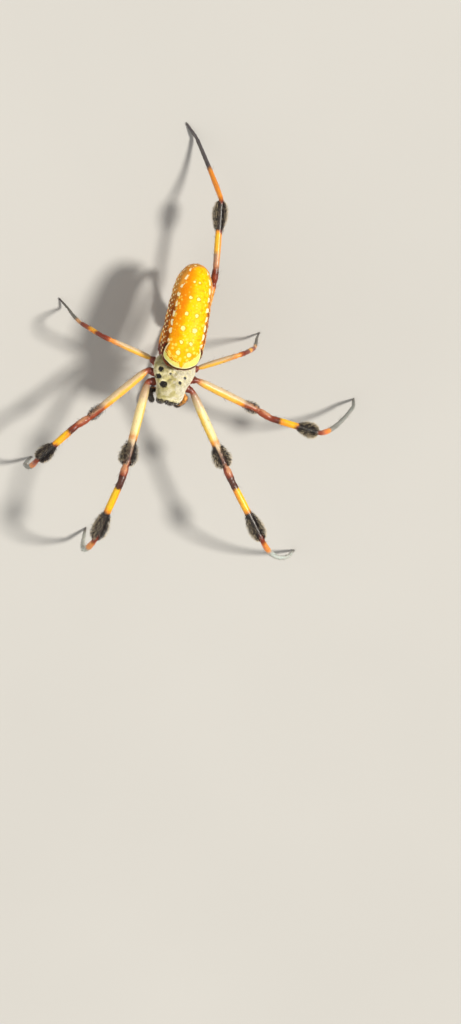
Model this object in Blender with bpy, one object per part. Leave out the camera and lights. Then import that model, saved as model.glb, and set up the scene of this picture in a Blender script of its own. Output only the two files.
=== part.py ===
"""Golden silk orb weaver: a still, life-size spider that stands with its head along -Y.

The sizes are millimetres and degrees. Each mesh is made at that scale and is scaled to metres
when it is placed. The body has its own frame, with the waist at 0, 0, 0.
"""

import math
import random

import bmesh
import bpy
from mathutils import Matrix, Vector

MM = 0.001
GAP = 0.3
SOCKET_ROOM = 0.14
SIDES = {"left": 1, "right": -1}

# The waist's place above the floor, how far the head end is raised, and the body's turn about the waist
BODY_AT = Vector((-8.8, 0.17, 19.0))
BODY_PITCH = 9
BODY_YAW = -4

# How square the body's cross-sections are, where 2 is an ellipse
SQUARENESS = 2.2

# Rows of a body form: place along Y, half width, top and bottom. A row of no width is its end point.
CARAPACE = (
    (-10.55, 0.0, 0.6, 0.6),
    (-10.5, 1.85, 1.7, -0.7),
    (-10.1, 2.55, 2.35, -1.1),
    (-8.6, 2.88, 2.85, -1.4),
    (-6.8, 3.15, 2.75, -1.5),
    (-5.2, 3.85, 2.15, -1.6),
    (-3.6, 4.32, 1.75, -1.5),
    (-2.0, 4.2, 1.3, -1.4),
    (-0.9, 3.4, 0.85, -1.1),
    (-0.3, 1.9, 0.4, -0.7),
    (-0.2, 0.0, -0.1, -0.1),
)
ABDOMEN = (
    (-3.3, 0.0, 3.9, 3.9),
    (-2.8, 2.2, 5.5, 2.4),
    (-1.5, 3.6, 6.5, 1.65),
    (0.6, 4.35, 7.2, 0.4),
    (3.5, 4.55, 7.5, -0.9),
    (7.5, 4.45, 7.3, -1.5),
    (11.5, 4.2, 6.7, -1.5),
    (15.0, 3.8, 5.8, -0.9),
    (17.4, 2.7, 4.6, 0.1),
    (18.55, 1.5, 3.4, 1.0),
    (18.95, 0.0, 2.2, 2.2),
)
STERNUM = (
    (-7.0, 0.0, -2.3, -2.3),
    (-6.9, 1.1, -1.9, -2.6),
    (-5.9, 1.8, -1.9, -2.8),
    (-4.6, 1.85, -1.9, -2.8),
    (-3.2, 1.3, -1.9, -2.7),
    (-2.0, 0.55, -1.8, -2.4),
    (-1.8, 0.0, -2.1, -2.1),
)
LABIUM = (
    (-8.6, 0.0, -2.4, -2.4),
    (-8.5, 0.45, -2.1, -2.7),
    (-7.9, 0.7, -1.95, -2.8),
    (-7.4, 0.6, -1.95, -2.7),
    (-7.3, 0.0, -2.3, -2.3),
)

# The eyes on the left of the face: across, up and radius, with a third of each sunk in the head.
# Two are in the middle, and two share a knob at the side.
MIDDLE_EYES = {"front": (0.42, 1.2, 0.25), "rear": (0.5, 2.05, 0.25)}
SIDE_EYES = ((2.0, 0.72, 0.2), (2.16, 0.93, 0.2))
EYE_SINK = 0.33

# The jaw's path and thickness, then the fang that folds in from its tip
CHELICERA = (
    (0.95, -9.0, -0.6),
    (1.05, -9.75, -1.9),
    (1.07, -9.95, -2.8),
    (1.0, -9.95, -3.7),
    (0.9, -9.8, -4.5),
)
CHELICERA_RADII = (0.72, 0.88, 0.92, 0.8, 0.48)
FANG = ((1.0, -9.85, -4.85), (0.98, -9.75, -5.2), (0.65, -9.5, -5.45), (0.2, -9.2, -5.35))
FANG_RADII = (0.3, 0.28, 0.2, 0.06)
PALP = (
    (1.5, -7.9, -2.35),
    (2.45, -8.1, -2.15),
    (3.5, -8.3, -1.35),
    (3.7, -9.0, -1.3),
    (3.2, -9.9, -2.5),
    (2.7, -10.4, -3.9),
    (2.4, -10.3, -5.0),
)
PALP_RADII = (0.6, 0.5, 0.52, 0.55, 0.5, 0.48, 0.2)
PEDICEL = ((0.0, 0.1, -0.1), (0.0, 1.2, 0.1), (0.0, 2.6, 0.5))
PEDICEL_RADII = (0.55, 0.45, 0.6)

# The spinnerets' shared base, and the six cones on it
SPINNERET_BASE = ((0.0, 16.6, 0.4), (0.0, 17.3, -0.9), (0.0, 17.6, -1.3))
SPINNERET_BASE_RADII = (1.1, 1.15, 0.9)
CONE_RING = 0.6
CONE_LENGTH = 1.3
CONE_RADII = (0.34, 0.27, 0.16)

# Coxa and trochanter of each pair of legs: inner end and outer end, on the left side
COXAE = {
    1: ((2.3, -6.2, -1.5), (4.8, -6.9, -1.0)),
    2: ((2.35, -4.9, -1.5), (5.3, -4.5, -1.1)),
    3: ((2.3, -3.5, -1.5), (5.0, -2.0, -1.2)),
    4: ((1.7, -2.2, -1.5), (3.5, 0.9, -2.1)),
}
COXA_RADII = ((0.0, 0.48), (0.3, 0.7), (0.6, 0.86), (0.74, 0.7), (0.88, 0.82), (1.0, 0.66))

# Lengths of femur, patella, tibia, metatarsus and tarsus, and how thick each pair of legs is
LENGTHS = {
    1: (18.1, 3.6, 14.6, 20.6, 5.2),
    2: (15.6, 3.2, 11.0, 17.7, 4.5),
    3: (9.0, 2.3, 6.6, 10.2, 3.4),
    4: (15.1, 3.1, 14.3, 16.8, 3.8),
}
THICKNESS = {1: 1.0, 2: 0.94, 3: 0.64, 4: 0.9}
FEMUR_RADII = ((0.0, 0.62), (0.12, 0.88), (0.4, 0.97), (0.75, 0.9), (1.0, 0.74))
PATELLA_RADII = ((0.0, 0.7), (0.4, 0.84), (1.0, 0.7))
TIBIA_RADII = ((0.0, 0.68), (0.25, 0.8), (0.75, 0.76), (1.0, 0.62))
METATARSUS_RADII = ((0.0, 0.56), (0.2, 0.6), (0.6, 0.48), (1.0, 0.4))
TARSUS_RADII = ((0.0, 0.4), (0.5, 0.34), (1.0, 0.25))

# The black brushes: from and to, as shares of the segment, and how far the tips stand off it
FEMUR_BRUSH = {1: (0.69, 0.99, 1.15), 2: (0.74, 0.99, 1.0), 4: (0.74, 0.98, 0.75)}
TIBIA_BRUSH = {1: (0.49, 0.95, 1.0), 2: (0.52, 0.95, 0.95), 4: (0.51, 0.96, 0.9)}

# The locks of a brush: rings, locks in a ring, root depth as a share of the radius, length,
# width and thickness, and the share of their height that a core of the leg itself fills
LOCK_RINGS = 3
LOCKS_IN_RING = 6
LOCK_ROOT = 0.5
LOCK_LENGTH = 2.3
LOCK_WIDTH = 1.25
LOCK_THICKNESS = 0.5
LOCK_SECTIONS = ((0.0, 1.0), (0.45, 0.95), (0.8, 0.6))
CORE_SHARE = 0.3

# The stance. Each pair of angles is a swing out from straight ahead and a rise above level.
# The metatarsus bends from its first pair to its second, and the tarsus has a swing only,
# because it slopes to meet the floor.
STANCE = {
    ("left", 1): ((33, -1), (32, 10), (36, 6), (38, -42), (86, -59), 96),
    ("right", 1): ((9, 20), (12, 23), (13, -10), (9, -55), (-105, -82), -160),
    ("left", 2): ((71, -9), (67, 10), (82, 5), (79, -55), (138, -39), 138),
    ("right", 2): ((43, 4), (52, 11), (41, 4), (6, -62), (6, -86), -116),
    ("left", 3): ((119, 14), (107, -37), (96, -64), (109, -74), (96, -79), 134),
    ("right", 3): ((106, -2), (106, -11), (107, -50), (114, -72), (141, -82), 128),
    ("left", 4): ((171, -9), (181, 2), (184, -7), (201, -51), (209, -36), 223),
    ("right", 4): ((195, -22), (184, -60), (-3, -25), (6, 9), (16, -10), 9),
}

COLOURS = {
    "carapace": ((0.62, 0.60, 0.48), 0.6),
    "abdomen": ((0.85, 0.42, 0.04), 0.45),
    "dark_skin": ((0.09, 0.03, 0.02), 0.5),
    "leg_yellow": ((0.85, 0.58, 0.12), 0.5),
    "leg_brown": ((0.16, 0.05, 0.03), 0.5),
    "leg_grey": ((0.30, 0.27, 0.25), 0.5),
    "eye": ((0.01, 0.01, 0.012), 0.1),
}


def material(name):
    """The material of this name, made once."""
    if name in bpy.data.materials:
        return bpy.data.materials[name]
    colour, roughness = COLOURS[name]
    made = bpy.data.materials.new(name)
    made.use_nodes = True
    shader = made.node_tree.nodes["Principled BSDF"]
    shader.inputs["Base Color"].default_value = (*colour, 1.0)
    shader.inputs["Roughness"].default_value = roughness
    return made


def clear_scene():
    for old in list(bpy.data.objects):
        bpy.data.objects.remove(old)


def smooth_row(rows, at):
    """The values at a place counted in rows, on a smooth curve through all of them."""
    first = min(int(at), len(rows) - 2)
    share = at - first
    before = rows[max(first - 1, 0)]
    after = rows[min(first + 2, len(rows) - 1)]
    values = []
    for a, b, c, d in zip(before, rows[first], rows[first + 1], after):
        slope_in = (c - a) / 2
        slope_out = (d - b) / 2
        rise = c - b
        values.append(
            b + share * (slope_in + share * (3 * rise - 2 * slope_in - slope_out
                                             + share * (slope_in + slope_out - 2 * rise)))
        )
    return values


def radius_at(radii, share):
    """The radius at a share of the length, on straight runs between the pairs given."""
    for (start, first), (end, last) in zip(radii, radii[1:]):
        if share <= end:
            return first + (last - first) * (share - start) / (end - start)
    return radii[-1][1]


def skinned(rings):
    """A closed mesh over rings of points, where a ring of one point is a pointed end."""
    made = bmesh.new()
    levels = [[made.verts.new(point) for point in ring] for ring in rings]
    for low, high in zip(levels, levels[1:]):
        count = max(len(low), len(high))
        for i in range(count):
            corners = [low[i % len(low)], low[(i + 1) % len(low)],
                       high[(i + 1) % len(high)], high[i % len(high)]]
            made.faces.new(list(dict.fromkeys(corners)))
    for level in (levels[0], levels[-1]):
        if len(level) > 1:
            made.faces.new(level)
    bmesh.ops.recalc_face_normals(made, faces=made.faces)
    mesh = bpy.data.meshes.new("mesh")
    made.to_mesh(mesh)
    made.free()
    return mesh


def body_form(rows, sides, steps, squareness=SQUARENESS, grow=0.0):
    """A smooth form along Y whose cross-sections are rounded boxes, grown all over if asked."""
    rings = []
    for i in range((len(rows) - 1) * steps + 1):
        y, half_width, top, bottom = smooth_row(rows, i / steps)
        at_end = i in (0, (len(rows) - 1) * steps)
        if at_end:
            y += math.copysign(grow, i - 1)
            rings.append([(0.0, y, (top + bottom) / 2)])
            continue
        half_width = half_width + grow
        middle = (top + bottom) / 2
        half_height = (top - bottom) / 2 + grow
        ring = []
        for j in range(sides):
            angle = math.tau * j / sides
            across = math.copysign(abs(math.cos(angle)) ** (2 / squareness), math.cos(angle))
            upward = math.copysign(abs(math.sin(angle)) ** (2 / squareness), math.sin(angle))
            ring.append((half_width * across, y, middle + half_height * upward))
        rings.append(ring)
    return skinned(rings)


def on_plane(point, along, plane):
    """The point slid along the tube on to the plane, which is a place and a normal."""
    place, normal = plane
    return point + along * ((place - point).dot(normal) / along.dot(normal))


def tube(path, radii, sides, start=None, end=None):
    """A round tube on a path, each end flat and lying in the plane given for it, if any."""
    path = [Vector(point) for point in path]
    tangents = []
    for i in range(len(path)):
        before = path[max(i - 1, 0)]
        after = path[min(i + 1, len(path) - 1)]
        tangents.append((after - before).normalized())
    across = tangents[0].orthogonal().normalized()
    rings = []
    for point, tangent, radius in zip(path, tangents, radii):
        across = (across - tangent * across.dot(tangent)).normalized()
        upward = tangent.cross(across)
        ring = []
        for j in range(sides):
            angle = math.tau * j / sides
            ring.append(point + radius * (math.cos(angle) * across + math.sin(angle) * upward))
        rings.append(ring)
    if start:
        rings[0] = [on_plane(point, tangents[0], start) for point in rings[0]]
    if end:
        rings[-1] = [on_plane(point, tangents[-1], end) for point in rings[-1]]
    return skinned(rings)


def ball(centre, radius, subdivisions=2):
    made = bmesh.new()
    bmesh.ops.create_icosphere(
        made, subdivisions=subdivisions, radius=radius, matrix=Matrix.Translation(centre)
    )
    mesh = bpy.data.meshes.new("ball")
    made.to_mesh(mesh)
    made.free()
    return mesh


def new_object(name, mesh):
    made = bpy.data.objects.new(name, mesh)
    bpy.context.scene.collection.objects.link(made)
    return made


def keep_largest(mesh):
    """Leaves only the closed surface of the most points."""
    held = bmesh.new()
    held.from_mesh(mesh)
    left = set(held.verts)
    shells = []
    while left:
        reached = {left.pop()}
        edge = list(reached)
        while edge:
            for link in edge.pop().link_edges:
                for vertex in link.verts:
                    if vertex in left:
                        left.remove(vertex)
                        reached.add(vertex)
                        edge.append(vertex)
        shells.append(reached)
    largest = max(shells, key=len)
    dropped = [vertex for vertex in held.verts if vertex not in largest]
    bmesh.ops.delete(held, geom=dropped, context="VERTS")
    held.to_mesh(mesh)
    held.free()


def combine(obj, meshes, operation):
    """Joins the meshes to the object, or cuts them from it, and applies the result."""
    tools = bpy.data.collections.new("tools")
    bpy.context.scene.collection.children.link(tools)
    for mesh in meshes:
        tools.objects.link(bpy.data.objects.new("tool", mesh))
    boolean = obj.modifiers.new("combine", "BOOLEAN")
    boolean.operation = operation
    boolean.operand_type = "COLLECTION"
    boolean.collection = tools
    boolean.solver = "EXACT"
    graph = bpy.context.evaluated_depsgraph_get()
    result = bpy.data.meshes.new_from_object(obj.evaluated_get(graph))
    obj.modifiers.clear()
    obj.data = result
    for tool in list(tools.objects):
        bpy.data.objects.remove(tool)
    bpy.data.collections.remove(tools)
    keep_largest(obj.data)


def place(obj, parent, colour, at=(0.0, 0.0, 0.0)):
    """Scales the mesh to metres about its place, parents the object and gives it its finish."""
    obj.data.transform(Matrix.Scale(MM, 4) @ Matrix.Translation(-Vector(at)))
    obj.location = Vector(at) * MM
    obj.parent = parent
    obj.data.materials.clear()
    obj.data.materials.append(material(colour))
    obj.data.shade_smooth()
    obj.data.set_sharp_from_angle(angle=math.radians(40))


def mirrored(points, side):
    return [(SIDES[side] * x, y, z) for x, y, z in points]


def body_matrix(unit=1.0):
    """The body's own frame, in millimetres, or in metres where the unit is MM."""
    pitch = Matrix.Rotation(math.radians(-BODY_PITCH), 4, "X")
    yaw = Matrix.Rotation(math.radians(BODY_YAW), 4, "Z")
    return Matrix.Translation(BODY_AT * unit) @ pitch @ yaw


def carapace_cutter():
    return body_form(CARAPACE, 24, 2, grow=GAP)


def eye_centre(side, eye):
    """The place of an eye, found by going back from the front until the point is in the head."""
    across, up, radius = eye
    at = 0.0
    while True:
        y, half_width, top, bottom = smooth_row(CARAPACE, at)
        middle = (top + bottom) / 2
        half_height = max((top - bottom) / 2, 0.01)
        half_width = max(half_width, 0.01)
        inside = abs(across / half_width) ** SQUARENESS + abs((up - middle) / half_height) ** SQUARENESS
        if inside < 1:
            return Vector((SIDES[side] * across, y + EYE_SINK * radius, up))
        at += 0.01


def make_prosoma(body):
    prosoma = new_object("prosoma", body_form(CARAPACE, 24, 2))
    sockets = []
    for side in SIDES:
        for eye in (*MIDDLE_EYES.values(), *SIDE_EYES):
            sockets.append(ball(eye_centre(side, eye), eye[2] + SOCKET_ROOM, 1))
    combine(prosoma, sockets, "DIFFERENCE")
    place(prosoma, body, "carapace")
    place(new_object("sternum", body_form(STERNUM, 12, 2, 2.6)), body, "leg_yellow")
    place(new_object("labium", body_form(LABIUM, 12, 2)), body, "dark_skin")


def make_eyes(body):
    for side in SIDES:
        for row, eye in MIDDLE_EYES.items():
            place(new_object(f"eye_{row}_{side}", ball(eye_centre(side, eye), eye[2])), body, "eye")
        first, second = (ball(eye_centre(side, eye), eye[2]) for eye in SIDE_EYES)
        pair = new_object(f"eyes_side_{side}", first)
        combine(pair, [second], "UNION")
        place(pair, body, "eye")


def make_mouthparts(body):
    for side in SIDES:
        jaw = new_object(f"chelicera_{side}", tube(mirrored(CHELICERA, side), CHELICERA_RADII, 12))
        combine(jaw, [carapace_cutter()], "DIFFERENCE")
        place(jaw, body, "dark_skin")
        fang = new_object(f"fang_{side}", tube(mirrored(FANG, side), FANG_RADII, 8))
        place(fang, body, "dark_skin")
        palp = new_object(f"palp_{side}", tube(mirrored(PALP, side), PALP_RADII, 10))
        place(palp, body, "leg_yellow")


def make_abdomen(body):
    place(new_object("abdomen", body_form(ABDOMEN, 24, 2)), body, "abdomen")
    pedicel = new_object("pedicel", tube(PEDICEL, PEDICEL_RADII, 12))
    combine(pedicel, [body_form(ABDOMEN, 24, 2, grow=GAP)], "DIFFERENCE")
    place(pedicel, body, "dark_skin")


def make_spinnerets(body):
    spinnerets = new_object("spinnerets", tube(SPINNERET_BASE, SPINNERET_BASE_RADII, 14))
    base = Vector(SPINNERET_BASE[-1])
    down = (base - Vector(SPINNERET_BASE[0])).normalized()
    across = Vector((1.0, 0.0, 0.0))
    cones = []
    for i in range(6):
        angle = math.tau * (i + 0.5) / 6
        outward = math.cos(angle) * across + math.sin(angle) * down.cross(across)
        root = base + outward * CONE_RING - down * 0.3
        lean = (down + outward * 0.25).normalized()
        cones.append(tube([root, root + lean * CONE_LENGTH / 2, root + lean * CONE_LENGTH], CONE_RADII, 8))
    combine(spinnerets, cones, "UNION")
    combine(spinnerets, [body_form(ABDOMEN, 24, 2, grow=GAP)], "DIFFERENCE")
    place(spinnerets, body, "dark_skin")


def make_coxa(body, side, pair, end_plane):
    """The coxa and trochanter as one piece, whose outer end lies in the plane given."""
    start, end = (Vector(point) for point in mirrored(COXAE[pair], side))
    to_body = body_matrix().inverted()
    plane = to_body @ end_plane[0], to_body.to_3x3() @ end_plane[1]
    path = [start.lerp(end, share) for share, _ in COXA_RADII]
    radii = [radius for _, radius in COXA_RADII]
    coxa = new_object(f"coxa_{side}_{pair}", tube(path, radii, 10, end=plane))
    combine(coxa, [carapace_cutter()], "DIFFERENCE")
    place(coxa, body, "leg_brown")


def direction(side, swing, rise):
    """The unit vector of a pair of stance angles."""
    swing = math.radians(swing)
    rise = math.radians(rise)
    return Vector((
        SIDES[side] * math.cos(rise) * math.sin(swing),
        -math.cos(rise) * math.cos(swing),
        math.sin(rise),
    ))


def brushed(radii, brush, thickness):
    """The radius as a function of the share of length, swollen a little by the brush's core."""

    def radius(share):
        size = radius_at(radii, share) * thickness
        if brush and brush[0] < share < brush[1]:
            across = math.sin(math.pi * (share - brush[0]) / (brush[1] - brush[0]))
            size += CORE_SHARE * brush[2] * math.sqrt(across)
        return size

    return radius


def lock(root, along, outward, length, height):
    """A flat, tapered lock, ridged outside, that leaves the leg at a slant and bends to lie along it."""
    across = along.cross(outward)
    rings = []
    for share, size in LOCK_SECTIONS:
        centre = root + along * length * share + outward * height * share * (1.7 - 0.7 * share)
        slope = (along * length + outward * height * (1.7 - 1.4 * share)).normalized()
        side = across * LOCK_WIDTH * size / 2
        ridge = across.cross(slope) * LOCK_THICKNESS * size
        rings.append([centre + side, centre - side, centre + ridge])
    rings.append([root + along * length + outward * height])
    return skinned(rings)


def brush_locks(start, end, radius, brush, draw):
    """The locks of one brush, in staggered rings round the segment from start to end."""
    along = (end - start).normalized()
    across = along.orthogonal().normalized()
    upward = along.cross(across)
    whole = (end - start).length
    first = brush[0] * whole
    last = brush[1] * whole - LOCK_LENGTH
    locks = []
    for ring in range(LOCK_RINGS):
        place_along = first + (last - first) * ring / (LOCK_RINGS - 1)
        depth = radius(place_along / whole) * LOCK_ROOT
        for i in range(LOCKS_IN_RING):
            angle = math.tau * (i + ring / 2 + draw.uniform(-0.12, 0.12)) / LOCKS_IN_RING
            outward = math.cos(angle) * across + math.sin(angle) * upward
            root = start + along * (place_along + draw.uniform(-0.15, 0.15)) + outward * depth
            height = radius(0.5) - depth + brush[2] * draw.uniform(0.85, 1.0)
            locks.append(lock(root, along, outward, LOCK_LENGTH * draw.uniform(0.9, 1.0), height))
    return locks


def straight(start, end, count):
    return [start.lerp(end, i / (count - 1)) for i in range(count)]


def curved_path(start, first, last, length, count):
    """Points along a curve of this length whose direction turns evenly from first to last."""
    points = [start]
    for i in range(count - 1):
        heading = first.lerp(last, (i + 0.5) / (count - 1)).normalized()
        points.append(points[-1] + heading * length / (count - 1))
    return points


def joint_plane(joint, before, after, shift):
    """The plane across a joint, half way between its two directions and shifted along them."""
    normal = (before + after).normalized()
    return joint + normal * shift, normal


def segment_mesh(path, radius, sides, start_plane, end_plane):
    count = len(path) - 1
    return tube(path, [radius(i / count) for i in range(count + 1)], sides, start_plane, end_plane)


def make_leg(body, legs, side, pair):
    femur, patella, tibia, metatarsus, metatarsus_end, tarsus_swing = STANCE[side, pair]
    lengths = LENGTHS[pair]
    thickness = THICKNESS[pair]
    inner, root = (body_matrix() @ Vector(point) for point in mirrored(COXAE[pair], side))
    headings = [direction(side, *angles) for angles in (femur, patella, tibia, metatarsus)]
    knee = root + headings[0] * lengths[0]
    shin = knee + headings[1] * lengths[1]
    ankle = shin + headings[2] * lengths[2]
    last_heading = direction(side, *metatarsus_end)
    foot_path = curved_path(ankle, headings[3], last_heading, lengths[3], 9)
    wrist = foot_path[-1]
    slope = math.degrees(math.asin(min(wrist.z / lengths[4], 0.99)))
    toe = wrist + direction(side, tarsus_swing, -slope) * lengths[4]
    joints = (root, knee, shin, ankle)
    before = ((root - inner).normalized(), *headings[:3])
    starts = [joint_plane(j, b, a, GAP / 2) for j, b, a in zip(joints, before, headings)]
    ends = [joint_plane(j, b, a, -GAP / 2) for j, b, a in zip(joints, before, headings)]
    make_coxa(body, side, pair, ends[0])
    floor = (Vector((0.0, 0.0, 0.0)), Vector((0.0, 0.0, 1.0)))
    sides = 8 if pair == 3 else 10
    segments = (
        ("femur", FEMUR_RADII, FEMUR_BRUSH.get(pair), 7, "leg_yellow"),
        ("patella", PATELLA_RADII, None, 4, "leg_brown"),
        ("tibia", TIBIA_RADII, TIBIA_BRUSH.get(pair), 6, "leg_brown"),
    )
    for i, (name, radii, brush, rings, colour) in enumerate(segments):
        radius = brushed(radii, brush, thickness)
        path = straight(joints[i], joints[i + 1], rings)
        mesh = segment_mesh(path, radius, sides, starts[i], ends[i + 1])
        segment = new_object(f"{name}_{side}_{pair}", mesh)
        if brush:
            draw = random.Random(f"{name} {side} {pair}")
            combine(segment, brush_locks(path[0], path[-1], radius, brush, draw), "UNION")
        place(segment, legs, colour, path[0])
    foot_radii = [radius_at(METATARSUS_RADII, i / 8) * thickness for i in range(9)]
    tarsus_path = straight(wrist, toe, 4)[1:]
    foot_radii += [max(radius_at(TARSUS_RADII, i / 3) * thickness, 0.25) for i in range(1, 4)]
    foot = new_object(
        f"foot_{side}_{pair}", tube(foot_path + tarsus_path, foot_radii, 8, starts[3], floor)
    )
    place(foot, legs, "leg_grey", ankle)


def main():
    clear_scene()
    body = new_object("body_frame", None)
    body.matrix_world = body_matrix(MM)
    legs = new_object("leg_frame", None)
    make_prosoma(body)
    make_eyes(body)
    make_mouthparts(body)
    make_abdomen(body)
    make_spinnerets(body)
    for side in SIDES:
        for pair in LENGTHS:
            make_leg(body, legs, side, pair)


main()
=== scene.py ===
"""The look of the golden silk orb weaver: skins, coat, finishes, floor, light and camera.

The sizes are millimetres and degrees, and repeat the named sizes of the solids. The body has its
own frame, with the waist at 0, 0, 0 and the head towards -Y. Meshes are scaled to metres as they
are made.
"""

import math
from functools import partialmethod

import bpy
import numpy as np
from mathutils import Matrix, Vector


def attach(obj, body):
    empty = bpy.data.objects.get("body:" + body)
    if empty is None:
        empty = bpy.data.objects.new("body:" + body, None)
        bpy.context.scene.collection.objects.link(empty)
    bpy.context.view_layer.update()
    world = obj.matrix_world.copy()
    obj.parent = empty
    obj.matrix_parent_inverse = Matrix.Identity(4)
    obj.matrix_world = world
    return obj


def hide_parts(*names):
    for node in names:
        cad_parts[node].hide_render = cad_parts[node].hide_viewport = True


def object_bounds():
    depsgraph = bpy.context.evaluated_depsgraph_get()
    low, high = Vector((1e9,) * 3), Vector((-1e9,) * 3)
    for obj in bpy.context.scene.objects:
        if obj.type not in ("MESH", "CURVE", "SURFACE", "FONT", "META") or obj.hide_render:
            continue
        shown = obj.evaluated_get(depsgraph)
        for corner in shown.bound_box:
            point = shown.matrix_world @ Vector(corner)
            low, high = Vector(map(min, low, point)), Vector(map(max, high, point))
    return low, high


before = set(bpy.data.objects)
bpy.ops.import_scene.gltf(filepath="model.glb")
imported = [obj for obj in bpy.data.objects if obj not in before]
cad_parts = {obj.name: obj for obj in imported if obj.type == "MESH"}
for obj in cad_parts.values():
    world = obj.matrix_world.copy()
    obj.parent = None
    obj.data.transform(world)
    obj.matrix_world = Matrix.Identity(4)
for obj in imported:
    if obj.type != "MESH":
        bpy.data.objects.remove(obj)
CAD_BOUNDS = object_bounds()

MM = 0.001
BODY_SEED = 5
PARTS_SEED = 7
SIDES = {"left": 1, "right": -1}
UP = np.array((0.0, 0.0, 1.0))

# The body's place, as in the solids
BODY_AT = (-8.8, 0.17, 19.0)
BODY_PITCH = 9
BODY_YAW = -4
SQUARENESS = 2.2

# Rows of a body form: place along Y, half width, top and bottom
CARAPACE = (
    (-10.55, 0.0, 0.6, 0.6), (-10.5, 1.85, 1.7, -0.7), (-10.1, 2.55, 2.35, -1.1),
    (-8.6, 2.88, 2.85, -1.4), (-6.8, 3.15, 2.75, -1.5), (-5.2, 3.85, 2.15, -1.6),
    (-3.6, 4.32, 1.75, -1.5), (-2.0, 4.2, 1.3, -1.4), (-0.9, 3.4, 0.85, -1.1), (-0.3, 1.9, 0.4, -0.7),
    (-0.2, 0.0, -0.1, -0.1),
)
# The skin's face is rounder than the solid's
HEAD_FRONT = (
    (-10.5, 0.0, 0.55, 0.55), (-10.42, 1.3, 1.4, -0.45), (-10.12, 2.15, 2.1, -0.95),
    (-9.5, 2.66, 2.5, -1.2),
)
CARAPACE_SKIN = HEAD_FRONT + CARAPACE[3:]
ABDOMEN = (
    (-3.3, 0.0, 3.9, 3.9), (-2.8, 2.2, 5.5, 2.4), (-1.5, 3.6, 6.5, 1.65), (0.6, 4.35, 7.2, 0.4),
    (3.5, 4.55, 7.5, -0.9), (7.5, 4.45, 7.3, -1.5), (11.5, 4.2, 6.7, -1.5), (15.0, 3.8, 5.8, -0.9),
    (17.4, 2.7, 4.6, 0.1), (18.55, 1.5, 3.4, 1.0), (18.95, 0.0, 2.2, 2.2),
)
# The breastplate and the lip run up into the head, so that no gap shows
STERNUM = (
    (-7.0, 0.0, -2.0, -2.0), (-6.9, 1.1, -1.2, -2.6), (-5.9, 1.8, -1.2, -2.8), (-4.6, 1.85, -1.2, -2.8),
    (-3.2, 1.3, -1.2, -2.7), (-2.0, 0.55, -1.1, -2.4), (-1.8, 0.0, -1.8, -1.8),
)
LABIUM = (
    (-8.6, 0.0, -2.2, -2.2), (-8.5, 0.45, -1.3, -2.7), (-7.9, 0.7, -1.2, -2.8), (-7.2, 0.7, -1.2, -2.75),
    (-6.8, 0.0, -2.0, -2.0),
)
MIDDLE_EYES = {"front": (0.42, 1.2, 0.25), "rear": (0.5, 2.05, 0.25)}
SIDE_EYES = ((2.0, 0.72, 0.2), (2.16, 0.93, 0.2))
EYE_STANDS_OUT = 0.1

# Paths and radii of the small parts. The jaws and the waist reach into what carries them.
CHELICERA = (
    (0.85, -8.0, 0.3), (0.95, -9.2, -0.5), (1.05, -9.75, -1.9), (1.07, -9.95, -2.8), (1.0, -9.95, -3.7),
    (0.93, -9.82, -4.5), (0.9, -9.78, -4.75),
)
CHELICERA_RADII = (0.6, 0.8, 0.9, 0.92, 0.8, 0.5, 0.25)
FANG = (
    (1.0, -9.85, -4.3), (1.0, -9.85, -4.85), (0.98, -9.75, -5.2), (0.65, -9.5, -5.45), (0.2, -9.2, -5.35),
)
FANG_RADII = (0.32, 0.29, 0.25, 0.17, 0.03)
PALP = (
    (0.9, -7.7, -2.2), (1.5, -7.9, -2.35), (2.45, -8.1, -2.15), (3.5, -8.3, -1.35), (3.7, -9.0, -1.3),
    (3.2, -9.9, -2.5), (2.7, -10.4, -3.9), (2.4, -10.3, -5.0),
)
PALP_RADII = (0.62, 0.62, 0.48, 0.5, 0.5, 0.46, 0.47, 0.1)
PALP_JOINTS = (2, 3.1, 4.1, 5.15)
PALP_RINGS = 120
PEDICEL = ((0.0, -1.0, -0.1), (0.0, 0.1, -0.1), (0.0, 1.2, 0.1), (0.0, 2.6, 0.7))
PEDICEL_RADII = (0.6, 0.5, 0.42, 0.6)
SPINNERET_BASE = ((0.0, 16.0, 1.2), (0.0, 16.6, 0.4), (0.0, 17.3, -0.9), (0.0, 17.6, -1.3))
SPINNERET_BASE_RADII = (1.0, 1.15, 1.1, 0.4)
# The spinnerets are a ring of cones that lean outwards from the base
CONES = 6
CONE_RING = 0.6
CONE_SUNK = 0.45
CONE_LEAN = 0.25
CONE_LENGTH = 1.3
CONE_SHARES = (0.0, 0.45, 0.9, 1.0)
CONE_NECKS = (1.4,)
CONE_RADII = (0.3, 0.34, 0.27, 0.05)

# Inner and outer end of coxa and trochanter of each pair of legs, on the left side
COXAE = {
    1: ((2.3, -6.2, -1.5), (4.8, -6.9, -1.0)),
    2: ((2.35, -4.9, -1.5), (5.3, -4.5, -1.1)),
    3: ((2.3, -3.5, -1.5), (5.0, -2.0, -1.2)),
    4: ((1.7, -2.2, -1.5), (3.5, 0.9, -2.1)),
}
COXA_RADII = ((-0.35, 0.75), (0.3, 0.84), (0.6, 0.86), (0.74, 0.66), (0.86, 0.8), (0.97, 0.7))
COXA_INWARD = 0.35

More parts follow.
